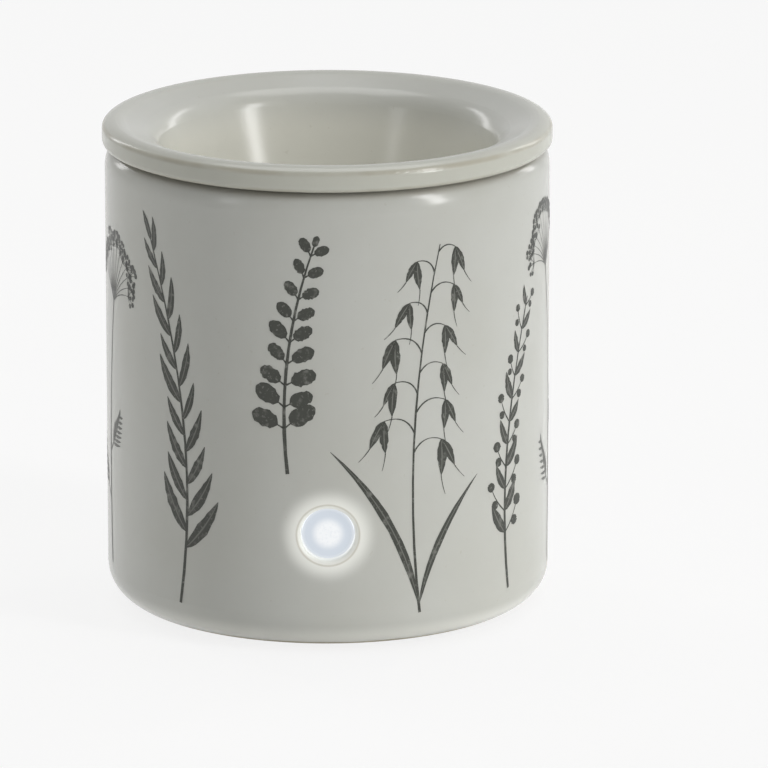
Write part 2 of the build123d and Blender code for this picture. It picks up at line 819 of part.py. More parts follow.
board_screw = slotted_screw(
    small_screw_diameter,
    board_thickness + standoff_depth - screw_end_room,
    small_screw_head_diameter,
    small_screw_head_height,
)
board_screw_places = [Location((x, -board_back, z), (-90, 0, 0)) for x, z in board_screw_points]
save(screw_group(board_screw, board_screw_places), "board_screws")

# Parts on the back of the board
connector_width = connector_pitch * connector_poles
first_pole_x = pillar_corner_r + lead_pillar_gap + lead_diameter / 2 - pillar_reach
pole_x = [first_pole_x + connector_pitch * i for i in range(connector_poles)]
connector_x = (pole_x[0] + pole_x[-1]) / 2
with BuildPart() as board_connector:
    with BuildSketch(Plane.XZ.offset(board_back)):
        with Locations((connector_x, connector_z)):
            Rectangle(connector_width, connector_height)
    extrude(amount=-connector_depth)
    with BuildSketch(Plane.XZ.offset(connector_back)):
        with Locations(*[(x, connector_z) for x in pole_x]):
            Circle(lead_hole_r)
    extrude(amount=lead_seat, mode=Mode.SUBTRACT)
save(board_connector.part, "board_connector")

with BuildPart() as film_capacitor:
    with BuildSketch(Plane.XZ.offset(board_back)):
        with Locations((capacitor_x, button_height + capacitor_above_button)):
            RectangleRounded(capacitor_width, capacitor_height, capacitor_edge_radius)
    extrude(amount=-capacitor_depth)
save(film_capacitor.part, "film_capacitor")

triac_z = button_height + triac_above_button
triac_body_z = triac_z + (triac_body_height - triac_height) / 2
triac_hole_z = triac_z + triac_body_height / 2
with BuildPart() as triac:
    with BuildSketch(Plane.XZ.offset(board_back)):
        with Locations((triac_x, triac_z)):
            Rectangle(triac_width, triac_height)
        with Locations((triac_x, triac_hole_z)):
            Circle(triac_tab_hole / 2, mode=Mode.SUBTRACT)
    extrude(amount=-triac_tab_thickness)
    with BuildSketch(Plane.XZ.offset(board_back)):
        with Locations((triac_x, triac_body_z)):
            Rectangle(triac_width, triac_body_height)
    extrude(amount=-triac_depth)
save(triac.part, "triac")

with BuildPart() as controller_chip:
    with BuildSketch(Plane.XZ.offset(board_back)):
        with Locations((chip_x, button_height - chip_below_button)):
            Rectangle(chip_width, chip_height)
    extrude(amount=-chip_depth)
save(controller_chip.part, "controller_chip")

# Terminal block at the back of the deck, with an ear for its screw
terminal_top_z = deck_top_z + terminal_height
terminal_wire_z = deck_top_z + terminal_wire_height
terminal_front_y = terminal_y - terminal_depth / 2
terminal_pole_x = [terminal_x + side * terminal_pitch / 2 for side in (-1, 1)]
with BuildPart() as terminal_block:
    with BuildSketch(Plane.XY.offset(deck_top_z)):
        with Locations((terminal_x, terminal_y)):
            Rectangle(terminal_width, terminal_depth)
    extrude(amount=terminal_height)
    with BuildSketch(Plane.XY.offset(deck_top_z)):
        with Locations(terminal_ear_point):
            Rectangle(terminal_ear_length, terminal_depth)
    extrude(amount=terminal_ear_thickness)
    with Locations((*terminal_ear_point, deck_top_z + terminal_ear_thickness)):
        Hole(radius=small_screw_diameter / 2 + screw_hole_clearance, depth=terminal_ear_thickness)
    with Locations(*[(x, terminal_y, terminal_top_z) for x in terminal_pole_x]):
        Hole(
            radius=terminal_screw_diameter / 2 + terminal_well_clearance,
            depth=terminal_well_depth,
        )
    with BuildSketch(Plane.XZ.offset(-terminal_front_y)):
        with Locations(*[(x, terminal_wire_z) for x in terminal_pole_x]):
            Circle(lead_hole_r)
    extrude(amount=-lead_seat, mode=Mode.SUBTRACT)
    with BuildSketch(Plane.XZ.offset(-terminal_back_y)):
        with Locations(*[(x, terminal_wire_z) for x in terminal_pole_x]):
            Circle(terminal_supply_hole / 2)
    extrude(amount=terminal_hole_depth, mode=Mode.SUBTRACT)
save(terminal_block.part, "terminal_block")

with BuildPart() as terminal_screws:
    with BuildSketch(Plane.XY.offset(terminal_top_z - terminal_well_depth)):
        with Locations(*[(x, terminal_y) for x in terminal_pole_x]):
            Circle(terminal_screw_diameter / 2)
    extrude(amount=terminal_screw_height)
    with BuildSketch(Plane.XY.offset(terminal_top_z - terminal_well_depth + terminal_screw_height)):
        with Locations(*[(x, terminal_y) for x in terminal_pole_x]):
            Rectangle(terminal_screw_diameter, screw_slot_width)
    extrude(amount=-screw_slot_depth, mode=Mode.SUBTRACT)
save(terminal_screws.part, "terminal_screws")

# Screws that hold the bracket's foot and the terminal block's ear to the deck
deck_screw = slotted_screw(
    small_screw_diameter,
    bracket_foot_thickness + deck_thickness - screw_end_room,
    small_screw_head_diameter,
    small_screw_head_height,
)
deck_screw_places = [
    Location((x, y, deck_top_z + bracket_foot_thickness)) for x, y in bracket_screw_points
]
deck_screw_places.append(Location((*terminal_ear_point, deck_top_z + terminal_ear_thickness)))
save(screw_group(deck_screw, deck_screw_places), "deck_screws")


def lead(points, bend_radius):
    """Insulated lead along straight runs joined by arcs."""
    with BuildPart() as wire:
        with BuildLine() as route:
            FilletPolyline(*points, radius=bend_radius)
        with BuildSketch(Plane(origin=route.line @ 0, z_dir=route.line % 0)):
            Circle(lead_diameter / 2)
        sweep()
    return wire.part


# Leads: supply to board, board to fuse, fuse to element, and the element's return
board_end_y = -connector_back - lead_seat
board_turn_y = -connector_back + lead_run_from_board
terminal_end_y = terminal_front_y + lead_seat
terminal_turn_y = terminal_front_y - lead_run_from_terminal
for name, terminal_pole, pole in zip(("live", "neutral"), terminal_pole_x, pole_x):
    supply_route = (
        (terminal_pole, terminal_end_y, terminal_wire_z),
        (terminal_pole, terminal_turn_y, terminal_wire_z),
        (pole, board_turn_y, connector_z),
        (pole, board_end_y, connector_z),
    )
    save(lead(supply_route, lead_bend_radius), f"lead_{name}")

fuse_turn_x = fuse_right_x + 2 * lead_bend_radius
fuse_climb_z = (connector_z + fuse_z) / 2
switched_route = (
    (pole_x[2], board_end_y, connector_z),
    (pole_x[2], board_turn_y, connector_z),
    (fuse_turn_x, fuse_y, fuse_climb_z),
    (fuse_turn_x, fuse_y, fuse_z),
    (fuse_right_x, fuse_y, fuse_z),
)
save(lead(switched_route, lead_bend_radius), "lead_switched")

fuse_route = (
    (fuse_left_x, fuse_y, fuse_z),
    (tab_a_point[0], fuse_y, fuse_z),
    (tab_a_point[0], fuse_y, element_z),
)
save(lead(fuse_route, lead_short_bend_radius), "lead_fuse")

return_route = (
    (pole_x[3], board_end_y, connector_z),
    (pole_x[3], board_turn_y, connector_z),
    (*tab_b_point, fuse_climb_z),
    (*tab_b_point, element_z),
)
save(lead(return_route, lead_bend_radius), "lead_return")
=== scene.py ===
"""Looks of the ceramic wax melt warmer: finishes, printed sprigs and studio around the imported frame.

Everything is in metres in the frame of the CAD model: +Z up, the button faces -Y. Only the printed
sprigs are drawn in millimetres, on the unrolled wall.
"""

import logging
import math
from dataclasses import dataclass, field
from enum import Enum
from typing import Callable, Dict, Iterable, List, Sequence, Tuple, Union

import bpy
import numpy as np
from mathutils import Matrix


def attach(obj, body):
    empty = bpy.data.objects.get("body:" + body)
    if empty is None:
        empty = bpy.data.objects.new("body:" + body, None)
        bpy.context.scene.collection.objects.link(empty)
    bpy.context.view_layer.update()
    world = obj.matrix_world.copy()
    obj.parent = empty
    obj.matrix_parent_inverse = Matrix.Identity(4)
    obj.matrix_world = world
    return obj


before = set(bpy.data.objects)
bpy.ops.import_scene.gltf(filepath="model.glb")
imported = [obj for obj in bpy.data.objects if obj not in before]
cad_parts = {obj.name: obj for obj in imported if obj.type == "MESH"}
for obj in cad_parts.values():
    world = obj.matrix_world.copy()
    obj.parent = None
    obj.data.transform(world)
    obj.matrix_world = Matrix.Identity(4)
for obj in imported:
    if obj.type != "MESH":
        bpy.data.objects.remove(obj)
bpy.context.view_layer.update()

Array = np.ndarray
Colour = Tuple[float, float, float]
Span = Tuple[float, float]
Socket = bpy.types.NodeSocket
Sockets = Dict[str, Socket]
Value = Union[float, Sequence[float], Socket]

MM = 0.001
CORNERS = ("back_right", "back_left", "front_left", "front_right")
BLACK = (0.0, 0.0, 0.0)
RIGHT_ANGLE = 90.0

# Places of the colour sockets on the Mix node.
MIX_FIRST = 6
MIX_SECOND = 7
MIX_RESULT = 2

log = logging.getLogger("warmer")


def rgba(colour: Colour) -> Tuple[float, float, float, float]:
    """A colour with full opacity."""
    return (*colour, 1.0)


@dataclass
class Graph:
    """Adds and joins shader nodes in one tree."""

    tree: bpy.types.NodeTree

    def add(self, kind: str, **settings: object) -> bpy.types.Node:
        """Add a node.

        Args:
            kind: name of the node's type.
            settings: properties to set on the node.

        Returns:
            The new node.
        """
        node = self.tree.nodes.new(kind)
        for key, value in settings.items():
            setattr(node, key, value)
        return node

    def feed(self, socket: Socket, value: Value) -> None:
        """Join a socket to another one, or set its own value.

        Args:
            socket: the input to fill.
            value: a socket to join it to, or a plain value.
        """
        if isinstance(value, bpy.types.NodeSocket):
            self.tree.links.new(value, socket)
        else:
            socket.default_value = value

    def math(self, operation: str, *values: Value) -> Socket:
        """One sum on up to three values.

        Args:
            operation: name of the Math node's operation.
            values: its operands, numbers or sockets.

        Returns:
            The result's socket.
        """
        node = self.add("ShaderNodeMath", operation=operation)
        for socket, value in zip(node.inputs, values):
            self.feed(socket, value)
        return node.outputs[0]

    def ease(self, value: Value, start: float, end: float, low: float = 0.0, high: float = 1.0) -> Socket:
        """A smooth step of a value.

        Args:
            value: what is stepped.
            start: where the step begins.
            end: where it ends.
            low: result at the start.
            high: result at the end.

        Returns:
            The result's socket.
        """
        node = self.add("ShaderNodeMapRange", interpolation_type="SMOOTHSTEP")
        for socket, number in zip(node.inputs, (value, start, end, low, high)):
            self.feed(socket, number)
        return node.outputs[0]

    def blend(self, share: Value, first: Value, second: Value) -> Socket:
        """Mix two colours.

        Args:
            share: how much of the second colour shows.
            first: colour at share 0.
            second: colour at share 1.

        Returns:
            The mixed colour's socket.
        """
        node = self.add("ShaderNodeMix", data_type="RGBA")
        self.feed(node.inputs[0], share)
        self.feed(node.inputs[MIX_FIRST], first)
        self.feed(node.inputs[MIX_SECOND], second)
        return node.outputs[MIX_RESULT]

    def noise(self, place: Socket, scale: Value, detail: float = 2.0) -> Socket:
        """Cloudy values about 0.5.

        Args:
            place: the point that they vary with.
            scale: features per metre.
            detail: how many finer layers are added.

        Returns:
            The values' socket.
        """
        node = self.add("ShaderNodeTexNoise")
        self.feed(node.inputs["Vector"], place)
        self.feed(node.inputs["Scale"], scale)
        node.inputs["Detail"].default_value = detail
        return node.outputs[0]

    def place(self) -> Socket:
        """The point on the piece, in object coordinates."""
        return self.add("ShaderNodeTexCoord").outputs["Object"]

    def group(self, tree: bpy.types.NodeTree, **values: Value) -> bpy.types.Node:
        """Place a shared effect.

        Args:
            tree: the effect's node group.
            values: its inputs by name, with underscores for spaces.

        Returns:
            The group's node.
        """
        node = self.add("ShaderNodeGroup", node_tree=tree)
        for key, value in values.items():
            self.feed(node.inputs[key.replace("_", " ")], value)
        return node

    def grain(self, place: Socket, scale: float, contrast: float) -> bpy.types.Node:
        """Place the fine grain with a scale in features per metre and a contrast of its shade."""
        return self.group(Effect.GRAIN.tree(), Place=place, Scale=scale, Contrast=contrast)


class Effect(Enum):
    """Shared effects, each a node group that is built once."""

    ROUND = "round_place"
    AXIS = "button_axis_distance"
    EDGE = "edge_line"
    GRAIN = "fine_grain"

    def tree(self) -> bpy.types.NodeTree:
        """The effect's node group, built on first use."""
        found = bpy.data.node_groups.get(self.value)
        return found or EFFECT_MAKERS[self](self.value)


def new_group(
    name: str, inputs: Dict[str, str], outputs: Dict[str, str]
) -> Tuple[Graph, Sockets, Sockets]:
    """Start a shader node group.

    Args:
        name: name of the group.
        inputs: socket type of each input by name.
        outputs: socket type of each output by name.

    Returns:
        The group's graph, the sockets its inputs give and the sockets its outputs take.
    """
    tree = bpy.data.node_groups.new(name, "ShaderNodeTree")
    for way, sockets in (("INPUT", inputs), ("OUTPUT", outputs)):
        for label, kind in sockets.items():
            tree.interface.new_socket(name=label, in_out=way, socket_type=f"NodeSocket{kind}")
    graph = Graph(tree)
    given = graph.add("NodeGroupInput")
    taken = graph.add("NodeGroupOutput")
    return (
        graph,
        {label: given.outputs[label] for label in inputs},
        {label: taken.inputs[label] for label in outputs},
    )


def make_round_place(name: str) -> bpy.types.NodeTree:
    """Distance of a point from the body's axis, the root of x squared plus y squared, and its height.

    Args:
        name: name of the group.

    Returns:
        The node group.
    """
    graph, given, taken = new_group(name, {"Place": "Vector"}, {"Radius": "Float", "Height": "Float"})
    split = graph.add("ShaderNodeSeparateXYZ")
    graph.feed(split.inputs[0], given["Place"])
    across = graph.math("MULTIPLY", split.outputs["X"], split.outputs["X"])
    squared = graph.math("MULTIPLY_ADD", split.outputs["Y"], split.outputs["Y"], across)
    graph.feed(taken["Radius"], graph.math("SQRT", squared))
    graph.feed(taken["Height"], split.outputs["Z"])
    return graph.tree


def make_button_axis_distance(name: str) -> bpy.types.NodeTree:
    """Distance of a point from the button's axis, which runs along Y, and a mask of the front half.

    Args:
        name: name of the group.

    Returns:
        The node group.
    """
    graph, given, taken = new_group(
        name, {"Place": "Vector", "Axis Height": "Float"}, {"Distance": "Float", "Front": "Float"}
    )
    split = graph.add("ShaderNodeSeparateXYZ")
    graph.feed(split.inputs[0], given["Place"])
    rise = graph.math("SUBTRACT", split.outputs["Z"], given["Axis Height"])
    across = graph.math("MULTIPLY", split.outputs["X"], split.outputs["X"])
    squared = graph.math("MULTIPLY_ADD", rise, rise, across)
    graph.feed(taken["Distance"], graph.math("SQRT", squared))
    graph.feed(taken["Front"], graph.math("LESS_THAN", split.outputs["Y"], 0.0))
    return graph.tree


def make_edge_line(name: str) -> bpy.types.NodeTree:
    """Line along a round edge: 1 on the edge's ring, 0 past its width, with worn gaps.

    Args:
        name: name of the group.

    Returns:
        The node group.
    """
    full_share = 0.15
    gap_scale = 90.0
    gap_detail = 3.0
    gap_start = 0.3
    gap_end = 0.62
    numbers = ("Radius", "Height", "Ring Radius", "Ring Height", "Width", "Wear")
    graph, given, taken = new_group(
        name, {"Place": "Vector", **{label: "Float" for label in numbers}}, {"Mask": "Float"}
    )
    out = graph.math("SUBTRACT", given["Radius"], given["Ring Radius"])
    rise = graph.math("SUBTRACT", given["Height"], given["Ring Height"])
    squared = graph.math("MULTIPLY_ADD", out, out, graph.math("MULTIPLY", rise, rise))
    far = graph.math("DIVIDE", graph.math("SQRT", squared), given["Width"])
    line = graph.ease(far, full_share, 1.0, 1.0, 0.0)
    gaps = graph.ease(graph.noise(given["Place"], gap_scale, gap_detail), gap_start, gap_end, 1.0, 0.0)
    whole = graph.math("SUBTRACT", 1.0, graph.math("MULTIPLY", gaps, given["Wear"]))
    graph.feed(taken["Mask"], graph.math("MULTIPLY", line, whole))
    return graph.tree


def make_fine_grain(name: str) -> bpy.types.NodeTree:
    """Two layers of noise, coarse and fine, as a shade about 0 and a height about 0.5.

    Args:
        name: name of the group.

    Returns:
        The node group.
    """
    coarse_detail = 3.0
    coarse_share = 0.6
    fine_times = 7.0
    fine_share = 0.4
    graph, given, taken = new_group(
        name,
        {"Place": "Vector", "Scale": "Float", "Contrast": "Float"},
        {"Shade": "Float", "Height": "Float"},
    )
    coarse = graph.noise(given["Place"], given["Scale"], coarse_detail)
    fine = graph.noise(given["Place"], graph.math("MULTIPLY", given["Scale"], fine_times))
    height = graph.math("MULTIPLY_ADD", fine, fine_share, graph.math("MULTIPLY", coarse, coarse_share))
    centred = graph.math("SUBTRACT", height, 0.5)
    graph.feed(taken["Shade"], graph.math("MULTIPLY", centred, given["Contrast"]))
    graph.feed(taken["Height"], height)
    return graph.tree


EFFECT_MAKERS: Dict[Effect, Callable[[str], bpy.types.NodeTree]] = {
    Effect.ROUND: make_round_place,
    Effect.AXIS: make_button_axis_distance,
    Effect.EDGE: make_edge_line,
    Effect.GRAIN: make_fine_grain,
}


@dataclass(frozen=True)
class Finish:
    """A surface finish: one material, with its plain values set on the shader."""

    name: str
    colour: Colour
    roughness: float = 0.5
    metallic: float = 0.0

    def material(self) -> bpy.types.Material:
        """The finish's material, built on first use.

        Returns:
            The material.
        """
        label = f"{self.name}_finish"
        found = bpy.data.materials.get(label)
        if found:
            return found
        made = bpy.data.materials.new(label)
        made.use_nodes = True
        made.node_tree.nodes.clear()
        graph = Graph(made.node_tree)
        shader = graph.add("ShaderNodeBsdfPrincipled")
        output = graph.add("ShaderNodeOutputMaterial")
        graph.feed(output.inputs["Surface"], shader.outputs["BSDF"])
        shader.inputs["Base Color"].default_value = rgba(self.colour)
        shader.inputs["Roughness"].default_value = self.roughness
        shader.inputs["Metallic"].default_value = self.metallic
        self.detail(graph, shader)
        return made

    def detail(self, graph: Graph, shader: bpy.types.Node) -> None:
        """Add what changes over the surface; each finish has its own."""
        raise NotImplementedError

    def tinted(self, graph: Graph, colour: Value, shade: Socket) -> Socket:
        """A colour made lighter or darker.

        Args:
            graph: the material's nodes.
            colour: what is changed.
            shade: the change, about 0.

        Returns:
            The new colour's socket.
        """
        tint = graph.add("ShaderNodeHueSaturation")
        graph.feed(tint.inputs["Color"], colour)
        graph.feed(tint.inputs["Value"], graph.math("ADD", shade, 1.0))
        return tint.outputs[0]

    def gloss(self, graph: Graph, shade: Socket, share: float) -> Socket:
        """The finish's roughness with a share of a shade about 0 added."""
        return graph.math("MULTIPLY_ADD", shade, share, self.roughness)

    def bump(self, graph: Graph, shader: bpy.types.Node, height: Socket, depth: float) -> None:
        """Give the shader a relief.

        Args:
            graph: the material's nodes.
            shader: its shader.
            height: the relief, from 0 to 1.
            depth: how deep it is, in metres.
        """
        node = graph.add("ShaderNodeBump")
        node.inputs["Strength"].default_value = 1.0
        node.inputs["Distance"].default_value = depth
        graph.feed(node.inputs["Height"], height)
        graph.feed(shader.inputs["Normal"], node.outputs[0])


@dataclass(frozen=True)
class EdgeLine:
    """A round edge with a thin line of another colour, such as clay through thin glaze, painted shade or
    painted light.
    """

    radius: float
    height: float
    width: float
    colour: Colour
    strength: float = 1.0
    wear: float = 0.65


@dataclass(frozen=True)
class Halo:
    """Light of the lit button on the glaze around it, and the clay line on the edge of its mouth."""

    axis_height: float
    inner: float
    outer: float
    colour: Colour
    line: float
    line_core: float = 0.1
    line_share: float = 0.5
    line_shade: float = 0.6
    falloff: float = 1.3


@dataclass(frozen=True)
class Glaze(Finish):
    """Satin glaze: pooled patches, edge lines, painted light in the well and, on the body, a bare foot and
    the button's light.
    """

    pooled: Colour = (0.5, 0.5, 0.45)
    pool_scale: float = 32.0
    pool_detail: float = 3.0
    pool_span: Span = (0.32, 0.7)
    clay: Colour = (0.45, 0.36, 0.24)
    edges: Tuple[EdgeLine, ...] = ()
    # Lighter colour low in the well: painted light.
    painted_well_light: Colour = (0.5, 0.5, 0.45)
    well_light_below: float = 0.0
    well_light_fade: float = 9.0 * MM
    bare_below: float = 0.0
    bare_fade: float = 0.3 * MM
    bare_scale: float = 160.0
    bare_wander: float = 0.6 * MM
    bare_roughness: float = 0.5
    halos: Tuple[Halo, ...] = ()
    grain_scale: float = 420.0
    grain_contrast: float = 0.03
    grain_gloss: float = 0.5
    speck_scale: float = 900.0
    speck_span: Span = (0.74, 0.80)
    speck_share: float = 0.14
    wave_scale: float = 95.0
    wave_weight: float = 20.0
    wave_depth: float = 0.002 * MM

    def detail(self, graph: Graph, shader: bpy.types.Node) -> None:
        """Colour from pooling, edges and the bare foot; relief from the glaze's slight unevenness.

        Args:
            graph: the material's nodes.
            shader: its shader.
        """
        place = graph.place()
        around = graph.group(Effect.ROUND.tree(), Place=place)
        height = around.outputs["Height"]
        grain = graph.grain(place, self.grain_scale, self.grain_contrast)
        colour = self.pools(graph, place, height)
        colour = self.lines(graph, place, around, colour)
        rough = self.gloss(graph, grain.outputs["Shade"], self.grain_gloss)
        if self.bare_below:
            wavy = graph.math("MULTIPLY_ADD", graph.noise(place, self.bare_scale), self.bare_wander, height)
            bare = graph.ease(wavy, self.bare_below, self.bare_below + self.bare_fade, 1.0, 0.0)
            colour = graph.blend(bare, colour, rgba(self.clay))
            rough = graph.math("MULTIPLY_ADD", bare, self.bare_roughness, rough)
        for halo in self.halos:
            colour = self.light(graph, shader, halo, place, colour)
        graph.feed(shader.inputs["Base Color"], self.tinted(graph, colour, grain.outputs["Shade"]))
        graph.feed(shader.inputs["Roughness"], rough)
        cloud = graph.noise(place, self.wave_scale, detail=1.0)
        wave = graph.math("MULTIPLY_ADD", cloud, self.wave_weight, grain.outputs["Height"])
        self.bump(graph, shader, wave, self.wave_depth)

    def pools(self, graph: Graph, place: Socket, height: Socket) -> Socket:
        """Colour of thin and pooled glaze, lighter low in the well as painted light, with specks of clay.

        Args:
            graph: the material's nodes.
            place: the point.
            height: its height above the table.

        Returns:
            The colour's socket.
        """
        cloud = graph.ease(graph.noise(place, self.pool_scale, self.pool_detail), *self.pool_span)
        colour = graph.blend(cloud, rgba(self.colour), rgba(self.pooled))
        # Painted light: the glaze is made lighter below a height in the well.
        if self.well_light_below:
            depth = graph.ease(height, self.well_light_below - self.well_light_fade, self.well_light_below, 1.0, 0.0)
            colour = graph.blend(depth, colour, rgba(self.painted_well_light))
        dots = graph.noise(place, self.speck_scale, detail=1.0)
        speck = graph.ease(dots, *self.speck_span, 0.0, self.speck_share)
        return graph.blend(speck, colour, rgba(self.clay))

    def lines(self, graph: Graph, place: Socket, around: bpy.types.Node, colour: Socket) -> Socket:
        """Draw the edges' lines over a colour.

        Args:
            graph: the material's nodes.
            place: the point.
            around: its distance from the axis and its height.
            colour: what the lines are drawn on.

        Returns:
            The new colour's socket.
        """
        for edge in self.edges:
            line = graph.group(
                Effect.EDGE.tree(),
                Place=place,
                Radius=around.outputs["Radius"],
                Height=around.outputs["Height"],
                Ring_Radius=edge.radius,
                Ring_Height=edge.height,
                Width=edge.width,
                Wear=edge.wear,
            )
            share = graph.math("MULTIPLY", line.outputs["Mask"], edge.strength)
            colour = graph.blend(share, colour, rgba(edge.colour))
        return colour

    def light(
        self, graph: Graph, shader: bpy.types.Node, halo: Halo, place: Socket, colour: Socket
    ) -> Socket:
        """Light the glaze round the button and draw the clay line on its mouth.

        Args:
            graph: the material's nodes.
            shader: its shader.
            halo: the light and the line.
            place: the point.
            colour: what the line is drawn on.

        Returns:
            The new colour's socket.
        """
        near = graph.group(Effect.AXIS.tree(), Place=place, Axis_Height=halo.axis_height)
        far = near.outputs["Distance"]
        away = graph.math("ABSOLUTE", graph.math("SUBTRACT", far, halo.inner))
        line = graph.ease(away, halo.line_core * halo.line, halo.line, halo.line_share, 0.0)
        line = graph.math("MULTIPLY", line, near.outputs["Front"])
        fade = graph.ease(far, halo.inner, halo.outer, 1.0, 0.0)
        fade = graph.math("MULTIPLY", graph.math("POWER", fade, halo.falloff), near.outputs["Front"])
        shaded = graph.math("SUBTRACT", 1.0, graph.math("MULTIPLY", line, halo.line_shade))
        fade = graph.math("MULTIPLY", fade, shaded)
        graph.feed(shader.inputs["Emission Color"], graph.blend(fade, rgba(BLACK), rgba(halo.colour)))
        shader.inputs["Emission Strength"].default_value = 1.0
        return graph.blend(line, colour, rgba(self.clay))


@dataclass(frozen=True)
class Ink(Finish):
    """Dark print under the glaze, thin in patches and along the veins of its leaves."""

    bare: Colour = (0.4, 0.4, 0.36)
    thin_scale: float = 520.0
    thin_detail: float = 4.0
    thin_span: Span = (0.52, 0.80)
    thin_share: float = 0.5
    fleck_scale: float = 1500.0
    fleck_span: Span = (0.58, 0.74)
    fleck_share: float = 0.32
    vein_span: Span = (0.03, 0.09)
    vein_share: float = 0.32
    grain_scale: float = 420.0
    grain_contrast: float = 0.10
    grain_gloss: float = 0.5
    grain_depth: float = 0.006 * MM

    def detail(self, graph: Graph, shader: bpy.types.Node) -> None:
        """Mottle the print with noise and lighten the middle of each leaf.

        Args:
            graph: the material's nodes.
            shader: its shader.
        """
        place = graph.place()
        cloud = graph.noise(place, self.thin_scale, self.thin_detail)
        thin = graph.ease(cloud, *self.thin_span, 0.0, self.thin_share)
        fleck = graph.ease(graph.noise(place, self.fleck_scale), *self.fleck_span, 0.0, self.fleck_share)
        across = graph.add("ShaderNodeSeparateXYZ")
        strokes = graph.add("ShaderNodeUVMap", uv_map=BotanicalPrint.uv_name)
        graph.feed(across.inputs[0], strokes.outputs[0])
        side = graph.math("ABSOLUTE", graph.math("SUBTRACT", across.outputs["Y"], 0.5))
        vein = graph.ease(side, *self.vein_span, self.vein_share, 0.0)
        leafy = graph.add("ShaderNodeAttribute", attribute_name=BotanicalPrint.vein_name)
        vein = graph.math("MULTIPLY", vein, leafy.outputs["Fac"])
        share = graph.math("MAXIMUM", graph.math("MAXIMUM", thin, fleck), vein)
        graph.feed(shader.inputs["Base Color"], graph.blend(share, rgba(self.colour), rgba(self.bare)))
        grain = graph.grain(place, self.grain_scale, self.grain_contrast)
        rough = self.gloss(graph, grain.outputs["Shade"], self.grain_gloss)
        graph.feed(shader.inputs["Roughness"], rough)
        self.bump(graph, shader, grain.outputs["Height"], self.grain_depth)


@dataclass(frozen=True)
class LitLens(Finish):
    """Frosted button lit from behind: a bright speckled middle in a cooler ring."""

    axis_height: float = 28.0 * MM
    middle: Colour = (0.79, 0.80, 0.81)
    ring: Colour = (0.53, 0.575, 0.635)
    spot: float = 3.1 * MM
    spot_soft: float = 0.35
    speck_scale: float = 1800.0
    speck_span: Span = (0.45, 0.66)
    speck_share: float = 0.16
    rim: float = 5.8 * MM
    # The emission brightens towards the rim as a painted glint.
    glint_start: float = 0.86
    rim_glint_share: float = 0.35
    grain_scale: float = 900.0
    grain_contrast: float = 0.2
    grain_gloss: float = 0.8
    grain_depth: float = 0.02 * MM

    def detail(self, graph: Graph, shader: bpy.types.Node) -> None:
        """Light by distance from the button's axis, with a fine speckle in the middle and a painted glint
        round the rim.

        Args:
            graph: the material's nodes.
            shader: its shader.
        """
        place = graph.place()
        near = graph.group(Effect.AXIS.tree(), Place=place, Axis_Height=self.axis_height)
        far = near.outputs["Distance"]
        soft = self.spot * self.spot_soft
        spot = graph.ease(far, self.spot - soft, self.spot + soft, 1.0, 0.0)
        dots = graph.noise(place, self.speck_scale, detail=1.0)
        speck = graph.ease(dots, *self.speck_span, 0.0, self.speck_share)
        glow = graph.blend(spot, rgba(self.ring), rgba(self.middle))
        glow = graph.blend(graph.math("MULTIPLY", speck, spot), glow, rgba(self.ring))
        # Painted glint: the lens brightens to the middle's colour at its rim.
        edge = graph.ease(far, self.rim * self.glint_start, self.rim, 0.0, self.rim_glint_share)
        glow = graph.blend(edge, glow, rgba(self.middle))
        graph.feed(shader.inputs["Emission Color"], glow)
        shader.inputs["Emission Strength"].default_value = 1.0
        grain = graph.grain(place, self.grain_scale, self.grain_contrast)
        rough = self.gloss(graph, grain.outputs["Shade"], self.grain_gloss)
        graph.feed(shader.inputs["Roughness"], rough)
        self.bump(graph, shader, grain.outputs["Height"], self.grain_depth)


@dataclass(frozen=True)
class Moulded(Finish):
    """Moulded plastic, rubber, fibre or sleeve with a fine grain."""

    grain: float = 700.0
    contrast: float = 0.25
    grain_gloss: float = 0.6
    depth: float = 0.02 * MM

    def detail(self, graph: Graph, shader: bpy.types.Node) -> None:
        """Grain in colour, gloss and relief.

        Args:
            graph: the material's nodes.
            shader: its shader.
        """
        grain = graph.grain(graph.place(), self.grain, self.contrast)
        shade = grain.outputs["Shade"]
        graph.feed(shader.inputs["Base Color"], self.tinted(graph, rgba(self.colour), shade))
        graph.feed(shader.inputs["Roughness"], self.gloss(graph, shade, self.grain_gloss))
        self.bump(graph, shader, grain.outputs["Height"], self.depth)


class Lay(Enum):
    """Direction of the fine lines in a metal surface."""

    BRUSHED = "along one way"
    TURNED = "rings about the axis"
    PLATED = "no lines, cloudy"


